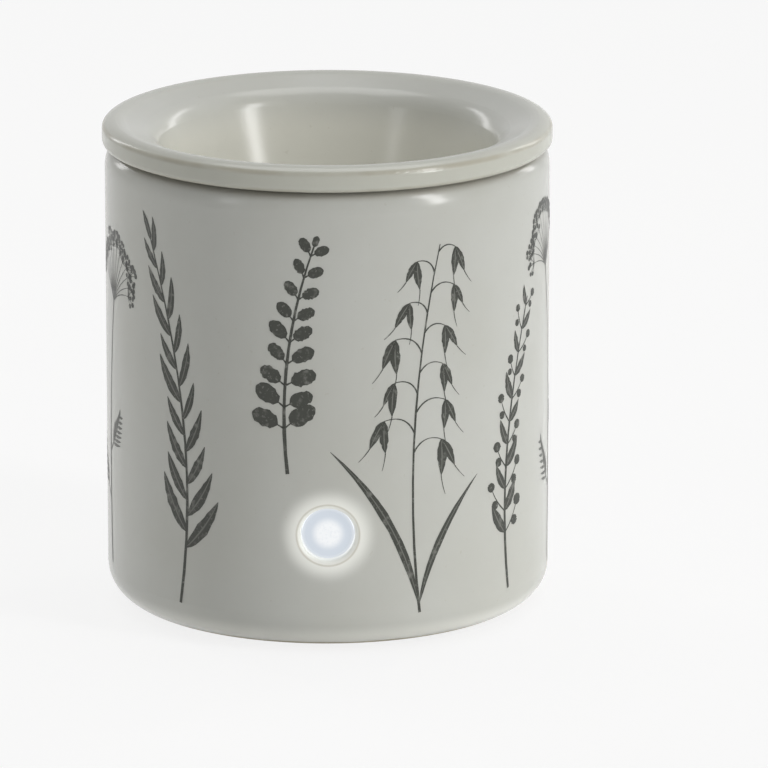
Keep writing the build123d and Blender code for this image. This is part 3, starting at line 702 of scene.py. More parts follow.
@dataclass(frozen=True)
class Metal(Finish):
    """Bare or plated metal with the lines of its making."""

    metallic: float = 1.0
    lay: Lay = Lay.PLATED
    ring_squeeze: float = 6.0
    brush_stretch: float = 12.0
    grain_scale: float = 600.0
    grain_contrast: float = 0.35
    grain_depth: float = 0.012 * MM
    cloud_scale: float = 110.0
    cloud_detail: float = 3.0
    cloud_gloss: float = 0.22

    def lines(self, graph: Graph, place: Socket) -> Socket:
        """Places stretched along the lay, so that noise on them makes lines.

        Args:
            graph: the material's nodes.
            place: the point.

        Returns:
            The stretched place's socket.
        """
        if self.lay is Lay.TURNED:
            around = graph.group(Effect.ROUND.tree(), Place=place)
            joined = graph.add("ShaderNodeCombineXYZ")
            squeezed = graph.math("MULTIPLY", around.outputs["Radius"], self.ring_squeeze)
            graph.feed(joined.inputs["X"], squeezed)
            return joined.outputs[0]
        if self.lay is Lay.BRUSHED:
            mapping = graph.add("ShaderNodeMapping", vector_type="TEXTURE")
            graph.feed(mapping.inputs["Vector"], place)
            mapping.inputs["Scale"].default_value = (self.brush_stretch, 1.0, 1.0)
            return mapping.outputs[0]
        return place

    def detail(self, graph: Graph, shader: bpy.types.Node) -> None:
        """Lines from noise that is squeezed across the lay, and cloudy gloss.

        Args:
            graph: the material's nodes.
            shader: its shader.
        """
        place = graph.place()
        grain = graph.grain(self.lines(graph, place), self.grain_scale, self.grain_contrast)
        tinted = self.tinted(graph, rgba(self.colour), grain.outputs["Shade"])
        graph.feed(shader.inputs["Base Color"], tinted)
        cloud = graph.noise(place, self.cloud_scale, self.cloud_detail)
        least = self.roughness - self.cloud_gloss / 2
        graph.feed(shader.inputs["Roughness"], graph.math("MULTIPLY_ADD", cloud, self.cloud_gloss, least))
        self.bump(graph, shader, grain.outputs["Height"], self.grain_depth)


@dataclass(frozen=True)
class Board(Finish):
    """Solder mask with paler tracks below it and bright pads."""

    track: Colour = (0.05, 0.24, 0.10)
    track_scale: float = 260.0
    track_span: Span = (0.07, 0.11)
    track_depth: float = 0.03 * MM
    pad: Colour = (0.62, 0.60, 0.52)
    pad_scale: float = 300.0
    pad_span: Span = (0.10, 0.14)
    pad_metal: float = 0.9

    def detail(self, graph: Graph, shader: bpy.types.Node) -> None:
        """Tracks from the edges of square cells, pads from round spots.

        Args:
            graph: the material's nodes.
            shader: its shader.
        """
        place = graph.place()
        cells = graph.add("ShaderNodeTexVoronoi", feature="DISTANCE_TO_EDGE", distance="CHEBYCHEV")
        graph.feed(cells.inputs["Vector"], place)
        cells.inputs["Scale"].default_value = self.track_scale
        track = graph.ease(cells.outputs["Distance"], *self.track_span, 1.0, 0.0)
        dots = graph.add("ShaderNodeTexVoronoi", feature="F1")
        graph.feed(dots.inputs["Vector"], place)
        dots.inputs["Scale"].default_value = self.pad_scale
        pads = graph.ease(dots.outputs["Distance"], *self.pad_span, 1.0, 0.0)
        colour = graph.blend(track, rgba(self.colour), rgba(self.track))
        graph.feed(shader.inputs["Base Color"], graph.blend(pads, colour, rgba(self.pad)))
        graph.feed(shader.inputs["Metallic"], graph.math("MULTIPLY", pads, self.pad_metal))
        self.bump(graph, shader, track, self.track_depth)


ZINC_PLATE = Metal("zinc_plate", (0.62, 0.62, 0.64), roughness=0.34)


def dress(finish: Finish, names: Iterable[str]) -> None:
    """Give CAD nodes a finish.

    Args:
        finish: what they are made of.
        names: the nodes.
    """
    for name in names:
        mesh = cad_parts[name].data
        mesh.materials.clear()
        mesh.materials.append(finish.material())
        log.info("dressed %s with %s", name, finish.name)


class Outline(Enum):
    """Half width of a stroke along its length, as a share of its widest."""

    STEM = 0
    LANCE = 1
    ROUND = 2

    def shape(self, t: Array) -> Array:
        """Half widths along a stroke.

        A stem narrows evenly, a lance swells as a sine that is pushed towards the foot, and a round is
        an ellipse. The last two keep a blunt end of a small share.

        Args:
            t: shares of the length.

        Returns:
            The half width at each share.
        """
        stem_taper = 0.55
        lance_end = 0.06
        lance_push = 0.8
        lance_fullness = 0.9
        round_end = 0.12
        if self is Outline.STEM:
            return 1.0 - stem_taper * t
        if self is Outline.LANCE:
            return lance_end + (1.0 - lance_end) * np.sin(np.pi * t**lance_push) ** lance_fullness
        return round_end + (1.0 - round_end) * np.sqrt(np.clip(1.0 - (2.0 * t - 1.0) ** 2, 0.0, 1.0))


def curve_points(start: Array, bend: Array, end: Array, t: Array) -> Array:
    """Points of a quadratic curve.

    A point is the start times (1-t) squared, plus the bend times 2t(1-t), plus the end times t squared.

    Args:
        start: where it begins.
        bend: the point that it bends towards.
        end: where it ends.
        t: shares along it.

    Returns:
        The points.
    """
    return (1 - t) ** 2 * start + 2 * t * (1 - t) * bend + t**2 * end


def curve_run(start: Array, bend: Array, end: Array, t: Array) -> Array:
    """Unit directions of a quadratic curve.

    The slope is 2(1-t) times the way from start to bend, plus 2t times the way from bend to end, and it
    is divided by its own length.

    Args:
        start: where it begins.
        bend: the point that it bends towards.
        end: where it ends.
        t: shares along it.

    Returns:
        The directions.
    """
    shortest = 1e-9
    way = 2 * (1 - t) * (bend - start) + 2 * t * (end - bend)
    return way / np.maximum(np.linalg.norm(way, axis=-1, keepdims=True), shortest)


def turned(direction: Array, degrees: Array) -> Array:
    """Directions in the plane turned to the left.

    Args:
        direction: what is turned.
        degrees: by how much.

    Returns:
        The turned directions.
    """
    angle = np.radians(degrees)
    cos, sin = np.cos(angle), np.sin(angle)
    x, y = direction[..., 0], direction[..., 1]
    return np.stack([x * cos - y * sin, x * sin + y * cos], axis=-1)


def sides(count: int) -> Array:
    """Sides by turns, -1 for the right and 1 for the left, beginning on the right."""
    return np.where(np.arange(count) % 2, 1.0, -1.0)


@dataclass
class Strokes:
    """Tapered strokes on the unrolled wall, each a quadratic curve with a half width and an outline."""

    start: Array
    bend: Array
    end: Array
    half: Array
    outline: Outline

    def bands(
        self, stations: int, lanes: int, ragged: float, rng: np.random.Generator
    ) -> Tuple[Array, Array]:
        """Grids of points on the strokes.

        A point at share v across is the curve's point plus v times the half width along the curve's
        left normal.

        Args:
            stations: points along each stroke.
            lanes: points across it.
            ragged: how much the half width wanders, as a share.
            rng: source of the wandering.

        Returns:
            Points of shape (strokes, stations, lanes, 2), and (along, across) of the same shape.
        """
        t = np.linspace(0.0, 1.0, stations)
        v = np.linspace(-1.0, 1.0, lanes)
        curve = (self.start[:, None, :], self.bend[:, None, :], self.end[:, None, :], t[None, :, None])
        middle = curve_points(*curve)
        run = curve_run(*curve)
        left = np.stack([-run[..., 1], run[..., 0]], axis=2)
        wander = 1.0 + ragged * rng.uniform(-1.0, 1.0, (len(self.half), stations))
        half = self.half[:, None] * self.outline.shape(t)[None, :] * wander
        aside = (v[None, None, :] * half[:, :, None])[..., None] * left[:, :, None, :]
        points = middle[:, :, None, :] + aside
        shares = np.stack(np.meshgrid(t, 0.5 + 0.5 * v, indexing="ij"), axis=2)
        return points, np.broadcast_to(shares, points.shape)


def shoots(
    start: Array, way: Array, length: Array, curl: Array, half: Array, outline: Outline
) -> Strokes:
    """Strokes from points in given directions.

    Args:
        start: where each begins.
        way: unit direction in which each leaves.
        length: how long each is.
        curl: turn to the left over its length, in degrees.
        half: half width at the widest.
        outline: shape of all of them.

    Returns:
        The strokes: each bends at half its length and ends in the turned direction.
    """
    bend = start + way * (length / 2)[:, None]
    end = bend + turned(way, curl) * (length / 2)[:, None]
    return Strokes(start, bend, end, half, outline)


def stalks_from(start: Array, way: Array, length: Array, curl: Array, half: float) -> Strokes:
    """Thin strokes that all have one half width and a stem's outline.

    Args:
        start: where each begins.
        way: unit direction in which each leaves.
        length: how long each is.
        curl: turn to the left over its length, in degrees.
        half: half width of all of them.

    Returns:
        The strokes.
    """
    return shoots(start, way, length, curl, np.full_like(length, half), Outline.STEM)


@dataclass(frozen=True)
class Stem:
    """Quadratic curve from a sprig's foot to its tip, in millimetres on the unrolled wall."""

    foot: Tuple[float, float]
    bend: Tuple[float, float]
    tip: Tuple[float, float]

    def corners(self) -> List[Array]:
        """The curve's three points as arrays."""
        return [np.array(point) for point in (self.foot, self.bend, self.tip)]

    def at(self, t: Array) -> Array:
        """Points at shares t of the stem."""
        return curve_points(*self.corners(), t[..., None])

    def run(self, t: Array) -> Array:
        """Unit directions at shares t of the stem."""
        return curve_run(*self.corners(), t[..., None])

    def stroke(self, half: float) -> Strokes:
        """The stem itself as one stroke with a half width."""
        return Strokes(*(point[None] for point in self.corners()), np.array([half]), Outline.STEM)

    def last(self, length: float, curl: float, half: float, outline: Outline) -> Strokes:
        """One stroke that goes on from the tip.

        Args:
            length: how long it is.
            curl: its turn to the left, in degrees.
            half: half width at the widest.
            outline: its shape.

        Returns:
            The stroke.
        """
        tip = np.array([1.0])
        sizes = (np.array([size]) for size in (length, curl, half))
        return shoots(self.at(tip), self.run(tip), *sizes, outline)


@dataclass(frozen=True)
class Sprig:
    """One printed plant: where it stands on the wall, how tall it is and how it leans."""

    name: str
    across: float
    foot: float
    height: float
    lean: float
    bow: float
    seed: int

    def stem(self) -> Stem:
        """The stem's curve.

        Returns:
            A curve that leans by its tip and bows at its middle.
        """
        return Stem(
            (self.across, self.foot),
            (self.across + self.bow, self.foot + self.height / 2),
            (self.across + self.lean, self.foot + self.height),
        )

    def strokes(self, rng: np.random.Generator) -> List[Strokes]:
        """All strokes of the plant; each kind has its own."""
        raise NotImplementedError


@dataclass(frozen=True)
class WillowSprig(Sprig):
    """Long narrow leaves, one after the other on the two sides of a bowed stem."""

    stem_half: float = 0.42
    leaves: int = 19
    leaf: float = 15.0
    leaf_places: Span = (0.16, 0.97)
    leaf_shorter: float = 0.5
    leaf_vary: Span = (0.85, 1.15)
    leaf_splay: float = 46.0
    leaf_closer: float = 18.0
    leaf_curl: float = 22.0
    leaf_slim: float = 0.105
    tip_leaf: float = 7.0
    tip_curl: float = 8.0
    tip_half: float = 0.8

    def strokes(self, rng: np.random.Generator) -> List[Strokes]:
        """Stem, side leaves that shorten towards the tip, and one leaf at the tip.

        Args:
            rng: source of the leaves' different lengths.

        Returns:
            The strokes.
        """
        stem = self.stem()
        t = np.linspace(*self.leaf_places, self.leaves)
        side = sides(self.leaves)
        length = self.leaf * (1.0 - self.leaf_shorter * t) * rng.uniform(*self.leaf_vary, self.leaves)
        way = turned(stem.run(t), side * (self.leaf_splay - self.leaf_closer * t))
        half = self.leaf_slim * length
        leaves = shoots(stem.at(t), way, length, -side * self.leaf_curl, half, Outline.LANCE)
        last = stem.last(self.tip_leaf, self.tip_curl, self.tip_half, Outline.LANCE)
        return [stem.stroke(self.stem_half), leaves, last]


@dataclass(frozen=True)
class RoundLeafSprig(Sprig):
    """Pairs of round leaves that get smaller towards the tip."""

    stem_half: float = 0.45
    pairs: int = 9
    leaf: float = 2.7
    leaf_places: Span = (0.2, 0.96)
    leaf_smaller: float = 0.55
    leaf_vary: Span = (0.9, 1.1)
    leaf_splay: float = 62.0
    leaf_closer: float = 22.0
    leaf_stray: Span = (-7.0, 7.0)
    leaf_long: float = 2.6
    leaf_wide: float = 0.8
    leaf_curl: float = 12.0
    stalk_out: float = 0.7
    stalk_long: float = 1.5
    stalk_half: float = 0.24
    bud: float = 2.6
    bud_half: float = 0.75

    def strokes(self, rng: np.random.Generator) -> List[Strokes]:
        """Stem, leaf stalks and round leaves in pairs, and a bud at the tip.

        Args:
            rng: source of the leaves' different sizes and directions.

        Returns:
            The strokes.
        """
        stem = self.stem()
        count = 2 * self.pairs
        t = np.repeat(np.linspace(*self.leaf_places, self.pairs), 2)
        side = np.tile([1.0, -1.0], self.pairs)
        radius = self.leaf * (1.0 - self.leaf_smaller * t) * rng.uniform(*self.leaf_vary, count)
        splay = side * (self.leaf_splay - self.leaf_closer * t) + rng.uniform(*self.leaf_stray, count)
        way = turned(stem.run(t), splay)
        out = self.stalk_out * radius
        stalks = stalks_from(stem.at(t), way, out * self.stalk_long, np.zeros_like(t), self.stalk_half)
        leaves = shoots(
            stem.at(t) + way * out[:, None],
            way,
            self.leaf_long * radius,
            side * self.leaf_curl,
            self.leaf_wide * radius,
            Outline.ROUND,
        )
        bud = stem.last(self.bud, 0.0, self.bud_half, Outline.ROUND)
        return [stem.stroke(self.stem_half), stalks, leaves, bud]


@dataclass(frozen=True)
class OatSprig(Sprig):
    """Grass with hanging grains on thin branches and two blades at the foot."""

    stem_half: float = 0.34
    branches: int = 11
    branch: float = 15.0
    branch_shorter: float = 9.0
    branch_places: Span = (0.44, 0.98)
    branch_vary: Span = (0.85, 1.15)
    branch_splay: float = 26.0
    branch_curl: float = 84.0
    branch_half: float = 0.2
    grain: float = 8.6
    grain_vary: Span = (0.85, 1.1)
    grain_shares: Span = (1.0, 0.9)
    grain_smaller: float = 0.2
    grain_splays: Span = (6.0, 34.0)
    grain_stray: Span = (-6.0, 6.0)
    grain_curl: float = 12.0
    grain_slim: float = 0.145
    awn: float = 0.55
    awn_curl: float = 14.0
    awn_half: float = 0.12
    blade_place: float = 0.02
    blade_splay: float = 12.0
    blade_curl: float = 34.0
    blade_shares: Span = (0.52, 0.4)
    blade_halves: Span = (1.0, 0.85)

    def strokes(self, rng: np.random.Generator) -> List[Strokes]:
        """Stem, branches that bend over, a pair of hanging grains with awns on each, and blades.

        Args:
            rng: source of the branches' and grains' different sizes and directions.

        Returns:
            The strokes.
        """
        stem = self.stem()
        count = 2 * self.branches
        t = np.linspace(*self.branch_places, self.branches)
        side = sides(self.branches)
        length = (self.branch - self.branch_shorter * t) * rng.uniform(*self.branch_vary, self.branches)
        way = turned(stem.run(t), side * self.branch_splay)
        branches = stalks_from(stem.at(t), way, length, side * self.branch_curl, self.branch_half)
        both = np.concatenate([side, side])
        down = np.tile([[0.0, -1.0]], (count, 1))
        hang = np.concatenate([-splay * side for splay in self.grain_splays])
        fall = turned(down, hang + rng.uniform(*self.grain_stray, count))
        shares = np.concatenate([share - self.grain_smaller * t for share in self.grain_shares])
        size = self.grain * rng.uniform(*self.grain_vary, count) * shares
        start = np.concatenate([branches.end, branches.end])
        grains = shoots(start, fall, size, both * self.grain_curl, self.grain_slim * size, Outline.LANCE)
        awns = stalks_from(grains.end, fall, self.awn * size, -both * self.awn_curl, self.awn_half)
        return [stem.stroke(self.stem_half), branches, grains, awns, self.blades(stem)]

    def blades(self, stem: Stem) -> Strokes:
        """Two long blades that leave the stem's foot to the left and the right.

        Args:
            stem: what they leave.

        Returns:
            The blades' strokes.
        """
        lean = np.array([1.0, -1.0])
        up = np.array([[0.0, 1.0], [0.0, 1.0]])
        return shoots(
            np.repeat(stem.at(np.array([self.blade_place])), 2, axis=0),
            turned(up, self.blade_splay * lean),
            np.array(self.blade_shares) * self.height,
            self.blade_curl * lean,
            np.array(self.blade_halves),
            Outline.LANCE,
        )


@dataclass(frozen=True)
class UmbelSprig(Sprig):
    """Flat flower head of thin rays, each with a small cluster of florets, over feathery leaves."""

    stem_half: float = 0.4
    rays: int = 13
    ray: float = 14.0
    ray_vary: Span = (0.9, 1.1)
    ray_shorter: float = 0.22
    ray_half: float = 0.17
    fan: float = 72.0
    fan_leave: float = 0.6
    fan_curl: float = 0.5
    fan_end: float = 0.9
    florets: int = 7
    floret_fan: float = 80.0
    floret_stray: Span = (-9.0, 9.0)
    floret_reach: Span = (1.6, 2.5)
    floret_stalk_half: float = 0.11
    floret_size: Span = (0.42, 0.66)
    frond_places: Span = (0.24, 0.42)
    frond_lengths: Span = (17.0, 13.0)
    frond_halves: Span = (0.24, 0.22)
    frond_splay: float = 48.0
    frond_curl: float = 24.0
    feathers: int = 7
    feather_places: Span = (0.28, 0.96)
    feather_lengths: Span = (5.4, 2.0)
    feather_splay: float = 44.0
    feather_curl: float = 16.0
    feather_half: float = 0.36

    def strokes(self, rng: np.random.Generator) -> List[Strokes]:
        """Stem, flower head and feathered leaves."""
        stem = self.stem()
        return [stem.stroke(self.stem_half), *self.head(stem, rng), *self.leaves(stem)]

    def head(self, stem: Stem, rng: np.random.Generator) -> List[Strokes]:
        """Rays that fan out from the tip, and a fan of stalked florets on the end of each.

        Args:
            stem: what carries them.
            rng: source of their different sizes and directions.

        Returns:
            The rays, the florets' stalks and the florets.
        """
        tip = np.array([1.0])
        fan = np.linspace(-self.fan, self.fan, self.rays)
        up = np.repeat(stem.run(tip), self.rays, axis=0)
        share = 1.0 - self.ray_shorter * np.abs(fan) / self.fan
        length = self.ray * share * rng.uniform(*self.ray_vary, self.rays)
        top = np.repeat(stem.at(tip), self.rays, axis=0)
        rays = stalks_from(top, turned(up, self.fan_leave * fan), length, self.fan_curl * fan, self.ray_half)
        heads = np.repeat(rays.end, self.florets, axis=0)
        base = np.repeat(turned(up, self.fan_end * fan), self.florets, axis=0)
        spread = np.tile(np.linspace(-self.floret_fan, self.floret_fan, self.florets), self.rays)
        way = turned(base, spread + rng.uniform(*self.floret_stray, len(heads)))
        straight = np.zeros(len(heads))
        reach = rng.uniform(*self.floret_reach, len(heads))
        stalks = stalks_from(heads, way, reach, straight, self.floret_stalk_half)
        dot = rng.uniform(*self.floret_size, len(heads))
        return [rays, stalks, shoots(stalks.end, way, 2.0 * dot, straight, dot, Outline.ROUND)]

    def leaves(self, stem: Stem) -> List[Strokes]:
        """Two fronds, one on each side, with feathers in pairs that shorten along them.

        Args:
            stem: what carries them.

        Returns:
            The fronds' ribs and their feathers.
        """
        where = np.array(self.frond_places)
        side = np.array([1.0, -1.0])
        rib_way = turned(stem.run(where), side * self.frond_splay)
        ribs = shoots(
            stem.at(where),
            rib_way,
            np.array(self.frond_lengths),
            -side * self.frond_curl,
            np.array(self.frond_halves),
            Outline.STEM,
        )
        share = np.linspace(*self.feather_places, self.feathers)[None, :, None]
        line = curve_points(ribs.start[:, None], ribs.bend[:, None], ribs.end[:, None], share)
        points = np.repeat(line.reshape(-1, 2), 2, axis=0)
        along = np.repeat(rib_way, 2 * self.feathers, axis=0)
        both = np.tile([1.0, -1.0], 2 * self.feathers)
        length = np.tile(np.repeat(np.linspace(*self.feather_lengths, self.feathers), 2), 2)
        feathers = shoots(
            points,
            turned(along, both * self.feather_splay),
            length,
            -both * self.feather_curl,
            np.full_like(length, self.feather_half),
            Outline.LANCE,
        )
        return [ribs, feathers]


@dataclass(frozen=True)
class BerrySprig(Sprig):
    """Thin twig with small pointed leaves and berries on short stalks."""

    stem_half: float = 0.42
    twigs: int = 11
    twig_places: Span = (0.2, 0.97)
    stalk: float = 8.5
    stalk_shorter: float = 4.0
    stalk_vary: Span = (0.85, 1.15)
    stalk_splay: float = 52.0
    stalk_curl: float = 30.0
    stalk_half: float = 0.2
    berry: float = 1.35
    berry_vary: Span = (0.9, 1.1)
    end_share: float = 1.0
    end_smaller: float = 0.35
    side_share: float = 0.85
    side_smaller: float = 0.3
    side_out: float = 1.1
    leaf: float = 9.5
    leaf_shorter: float = 4.5
    leaf_vary: Span = (0.85, 1.1)
    leaf_splay: float = 40.0
    leaf_curl: float = 20.0
    leaf_slim: float = 0.16

    def strokes(self, rng: np.random.Generator) -> List[Strokes]:
        """Stem, stalks that carry two berries each, and a leaf at the foot of each stalk.

        Args:
            rng: source of the stalks', berries' and leaves' different sizes.

        Returns:
            The strokes.
        """
        stem = self.stem()
        t = np.linspace(*self.twig_places, self.twigs)
        side = sides(self.twigs)
        length = (self.stalk - self.stalk_shorter * t) * rng.uniform(*self.stalk_vary, self.twigs)
        way = turned(stem.run(t), side * self.stalk_splay)
        stalks = stalks_from(stem.at(t), way, length, -side * self.stalk_curl, self.stalk_half)
        halfway = np.array(0.5)
        middle = curve_points(stalks.start, stalks.bend, stalks.end, halfway)
        beside = middle + turned(way, side * RIGHT_ANGLE) * self.side_out
        shares = np.concatenate(
            [self.end_share - self.end_smaller * t, self.side_share - self.side_smaller * t]
        )
        size = self.berry * shares * rng.uniform(*self.berry_vary, 2 * self.twigs)
        upward = np.tile([[0.0, 1.0]], (2 * self.twigs, 1))
        spot = np.concatenate([stalks.end, beside]) - upward * size[:, None]
        berries = shoots(spot, upward, 2.0 * size, np.zeros_like(size), size, Outline.ROUND)
        leaf = (self.leaf - self.leaf_shorter * t) * rng.uniform(*self.leaf_vary, self.twigs)
        leaf_way = turned(stem.run(t), -side * self.leaf_splay)
        half = self.leaf_slim * leaf
        leaves = shoots(stem.at(t), leaf_way, leaf, side * self.leaf_curl, half, Outline.LANCE)
        return [stem.stroke(self.stem_half), stalks, berries, leaves]


@dataclass
class BotanicalPrint:
    """Dark plants printed round the ceramic wall, as thin bands that follow it."""

    wall_radius: float = 50.2
    lift: float = 0.035
    stations: int = 12
    lanes: int = 5
    ragged: float = 0.13
    sprigs: Tuple[Sprig, ...] = ()
    ink: Ink = field(default_factory=lambda: Ink("print_ink", (0.045, 0.048, 0.038), roughness=0.34))

    uv_name = "stroke"
    vein_name = "vein"

    def wrapped(self, points: Array) -> Array:
        """Points of the unrolled wall on the round one.

        A distance s across is the angle s over the radius, to the right of the front; a height stays.

        Args:
            points: distances across and heights, in millimetres.

        Returns:
            Places in metres.
        """
        angle = points[..., 0] / self.wall_radius
        radius = self.wall_radius + self.lift
        place = np.stack([radius * np.sin(angle), -radius * np.cos(angle), points[..., 1]], axis=-1)
        return place * MM

    def build(self) -> None:
        """Make one piece for each sprig, put it on the housing and ink it."""
        for sprig in self.sprigs:
            rng = np.random.default_rng(sprig.seed)
            places, faces, shares, veins = [], [], [], []
            count = 0
            for strokes in sprig.strokes(rng):
                points, share = strokes.bands(self.stations, self.lanes, self.ragged, rng)
                size = points[..., 0].size
                index = count + np.arange(size).reshape(points.shape[:3])
                corners = (index[:, :-1, :-1], index[:, 1:, :-1], index[:, 1:, 1:], index[:, :-1, 1:])
                faces.append(np.stack(corners, axis=-1).reshape(-1, 4))
                places.append(self.wrapped(points).reshape(-1, 3))
                shares.append(share.reshape(-1, 2))
                veins.append(np.full(size, float(strokes.outline is Outline.LANCE)))
                count += size
            self.piece(sprig.name, *(np.concatenate(part) for part in (places, faces, shares, veins)))

    def piece(self, name: str, places: Array, faces: Array, shares: Array, veins: Array) -> None:
        """Make a printed piece.

        Args:
            name: name of the piece.
            places: points in metres.
            faces: four point numbers for each face.
            shares: share along and across its stroke, for each point.
            veins: 1 on leaves that have a vein, for each point.
        """
        mesh = bpy.data.meshes.new(name)
        mesh.from_pydata(places.tolist(), [], faces.tolist())
        layer = mesh.uv_layers.new(name=self.uv_name)
        layer.data.foreach_set("uv", shares[faces.ravel()].astype(np.float32).ravel())
        vein = mesh.attributes.new(self.vein_name, "FLOAT", "POINT")
        vein.data.foreach_set("value", veins.astype(np.float32))
        mesh.shade_smooth()
        mesh.materials.append(self.ink.material())
        made = bpy.data.objects.new(name, mesh)
        bpy.context.scene.collection.objects.link(made)
        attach(made, "housing")
        log.info("printed %s with %d faces", name, len(faces))


@dataclass
class CeramicBody:
    """Glazed body and lift-off dish, with the heights and radii of their edges."""

    rim_radius: float = 50.8 * MM
    body_radius: float = 50.2 * MM
    overall_height: float = 111.8 * MM
    seam_height: float = 106.1 * MM
    edge_drop: float = 1.4 * MM
    foot_height: float = 1.0 * MM
    bare_rise: float = 1.4 * MM
    well_drop: float = 2.8 * MM
    button_height: float = 28.0 * MM
    button_mouth: float = 7.0 * MM
    halo_reach: float = 1.7
    halo_colour: Colour = (0.30, 0.30, 0.285)
    mouth_line: float = 0.35 * MM
    lip_inset: float = 1.4 * MM
    foot_inset: float = 0.6 * MM
    foot_rise: float = 1.2 * MM
    bead_inset: float = 1.0 * MM
    bead_rise: float = 2.6 * MM
    top_inset: float = 0.3 * MM
    top_rise: float = 0.1 * MM
    low_inset: float = 0.4 * MM
    low_rise: float = 0.4 * MM
    worn_width: float = 0.9 * MM
    seam_shade_inset: float = 1.6 * MM
    colour: Colour = (0.60, 0.606, 0.565)
    pooled: Colour = (0.575, 0.578, 0.53)
    # Lighter colour low in the dish's well: painted light.
    painted_well_light: Colour = (0.735, 0.728, 0.652)
    clay: Colour = (0.40, 0.36, 0.26)
    # Near black line in the seam under the dish: painted shade.
    painted_seam_shade: Colour = (0.07, 0.06, 0.045)
    # Brown on the body's lip: a stain, and painted shade under the dish's bead.
    lip_stain_and_shade: Colour = (0.27, 0.245, 0.185)
    # Pale band at the foot: painted light from the floor's bounce.
    thin: Colour = (0.86, 0.86, 0.80)
    warm: Colour = (0.59, 0.592, 0.52)

    def body_edges(self) -> Tuple[EdgeLine, ...]:
        """Lines on the body's edges.

        Returns:
            The stained lip under the dish and the thin glaze at the foot.
        """
        # The lip's line is a stain and painted shade under the dish's bead.
        lip = EdgeLine(
            self.body_radius - self.lip_inset,
            self.seam_height,
            width=2.6 * MM,
            colour=self.lip_stain_and_shade,
            strength=0.62,
            wear=0.15,
        )
        # The foot's pale band is painted light from the floor's bounce.
        foot = EdgeLine(
            self.body_radius - self.foot_inset,
            self.foot_height + self.foot_rise,
            width=5.0 * MM,
            colour=self.thin,
            strength=0.9,
            wear=0.0,
        )
        return (lip, foot)

    def dish_edges(self) -> Tuple[EdgeLine, ...]:
        """Lines on the dish's edges.

        Returns:
            The flange's warm bead, its worn upper and lower edges, and the painted shade of the seam below
            it.
        """
        bead = EdgeLine(
            self.rim_radius - self.bead_inset,
            self.seam_height + self.bead_rise,
            width=6.0 * MM,
            colour=self.warm,
            wear=0.0,
        )
        top = EdgeLine(
            self.rim_radius - self.top_inset,
            self.overall_height - self.edge_drop + self.top_rise,
            width=self.worn_width,
            colour=self.clay,
            strength=0.55,
        )
        low = EdgeLine(
            self.rim_radius - self.low_inset,
            self.seam_height + self.low_rise,
            width=self.worn_width,
            colour=self.clay,
            strength=0.4,
        )
        # Painted shade: a near black line in the seam under the dish.
        painted_seam_shade = EdgeLine(
            self.body_radius - self.seam_shade_inset,
            self.seam_height,
            width=1.75 * MM,
            colour=self.painted_seam_shade,
            strength=0.95,
            wear=0.0,
        )
        return (bead, top, low, painted_seam_shade)

    def dress(self) -> None:
        """Glaze the body and the dish."""
        halo = Halo(
            self.button_height,
            inner=self.button_mouth,
            outer=self.halo_reach * self.button_mouth,
            colour=self.halo_colour,
            line=self.mouth_line,
        )
        body = Glaze(
            "body_glaze",
            self.colour,
            roughness=0.19,
            pooled=self.pooled,
            clay=self.clay,
            edges=self.body_edges(),
            bare_below=self.foot_height + self.bare_rise,
            halos=(halo,),
        )
        dish = Glaze(
            "dish_glaze",
            self.colour,
            roughness=0.20,
            pooled=self.pooled,
            clay=self.clay,
            edges=self.dish_edges(),
            painted_well_light=self.painted_well_light,
            well_light_below=self.overall_height - self.well_drop,
        )
        dress(body, ["body_shell"])
        dress(dish, ["wax_dish"])


@dataclass
class LitButton:
    """Frosted push button with its switch and light."""

    axis_height: float = 28.0 * MM
    cap_radius: float = 5.75 * MM

    def dress(self) -> None:
        """Light the cap and finish what is behind it."""
        lens = LitLens(
            "frosted_lens",
            (0.11, 0.12, 0.13),
            roughness=0.2,
            axis_height=self.axis_height,
            rim=self.cap_radius,
        )
        plastic = Moulded("switch_plastic", (0.035, 0.035, 0.037))
        epoxy = Moulded("led_epoxy", (0.86, 0.88, 0.92), roughness=0.12, grain=300.0, contrast=0.06)
        dress(lens, ["button_cap"])
        dress(plastic, ["switch_body", "switch_plunger"])
        dress(epoxy, ["indicator_led"])


@dataclass
class Underside:
    """Base plate, feet, screws and the cord's gland."""

    plastic_depth: float = 0.04 * MM
    rubber_depth: float = 0.03 * MM

    def dress(self) -> None:
        """Finish the pieces below the ledge."""
        plastic = Moulded(
            "base_plastic",
            (0.06, 0.06, 0.06),
            roughness=0.58,
            grain=1300.0,
            contrast=0.3,
            depth=self.plastic_depth,
        )
        rubber = Moulded(
            "foot_rubber",
            (0.028, 0.028, 0.03),
            roughness=0.78,
            grain=1100.0,
            contrast=0.4,
            depth=self.rubber_depth,
        )
        dress(plastic, ["base_plate"])
        dress(rubber, [*(f"foot_{corner}" for corner in CORNERS), "cord_gland"])
        dress(ZINC_PLATE, ["base_screws"])


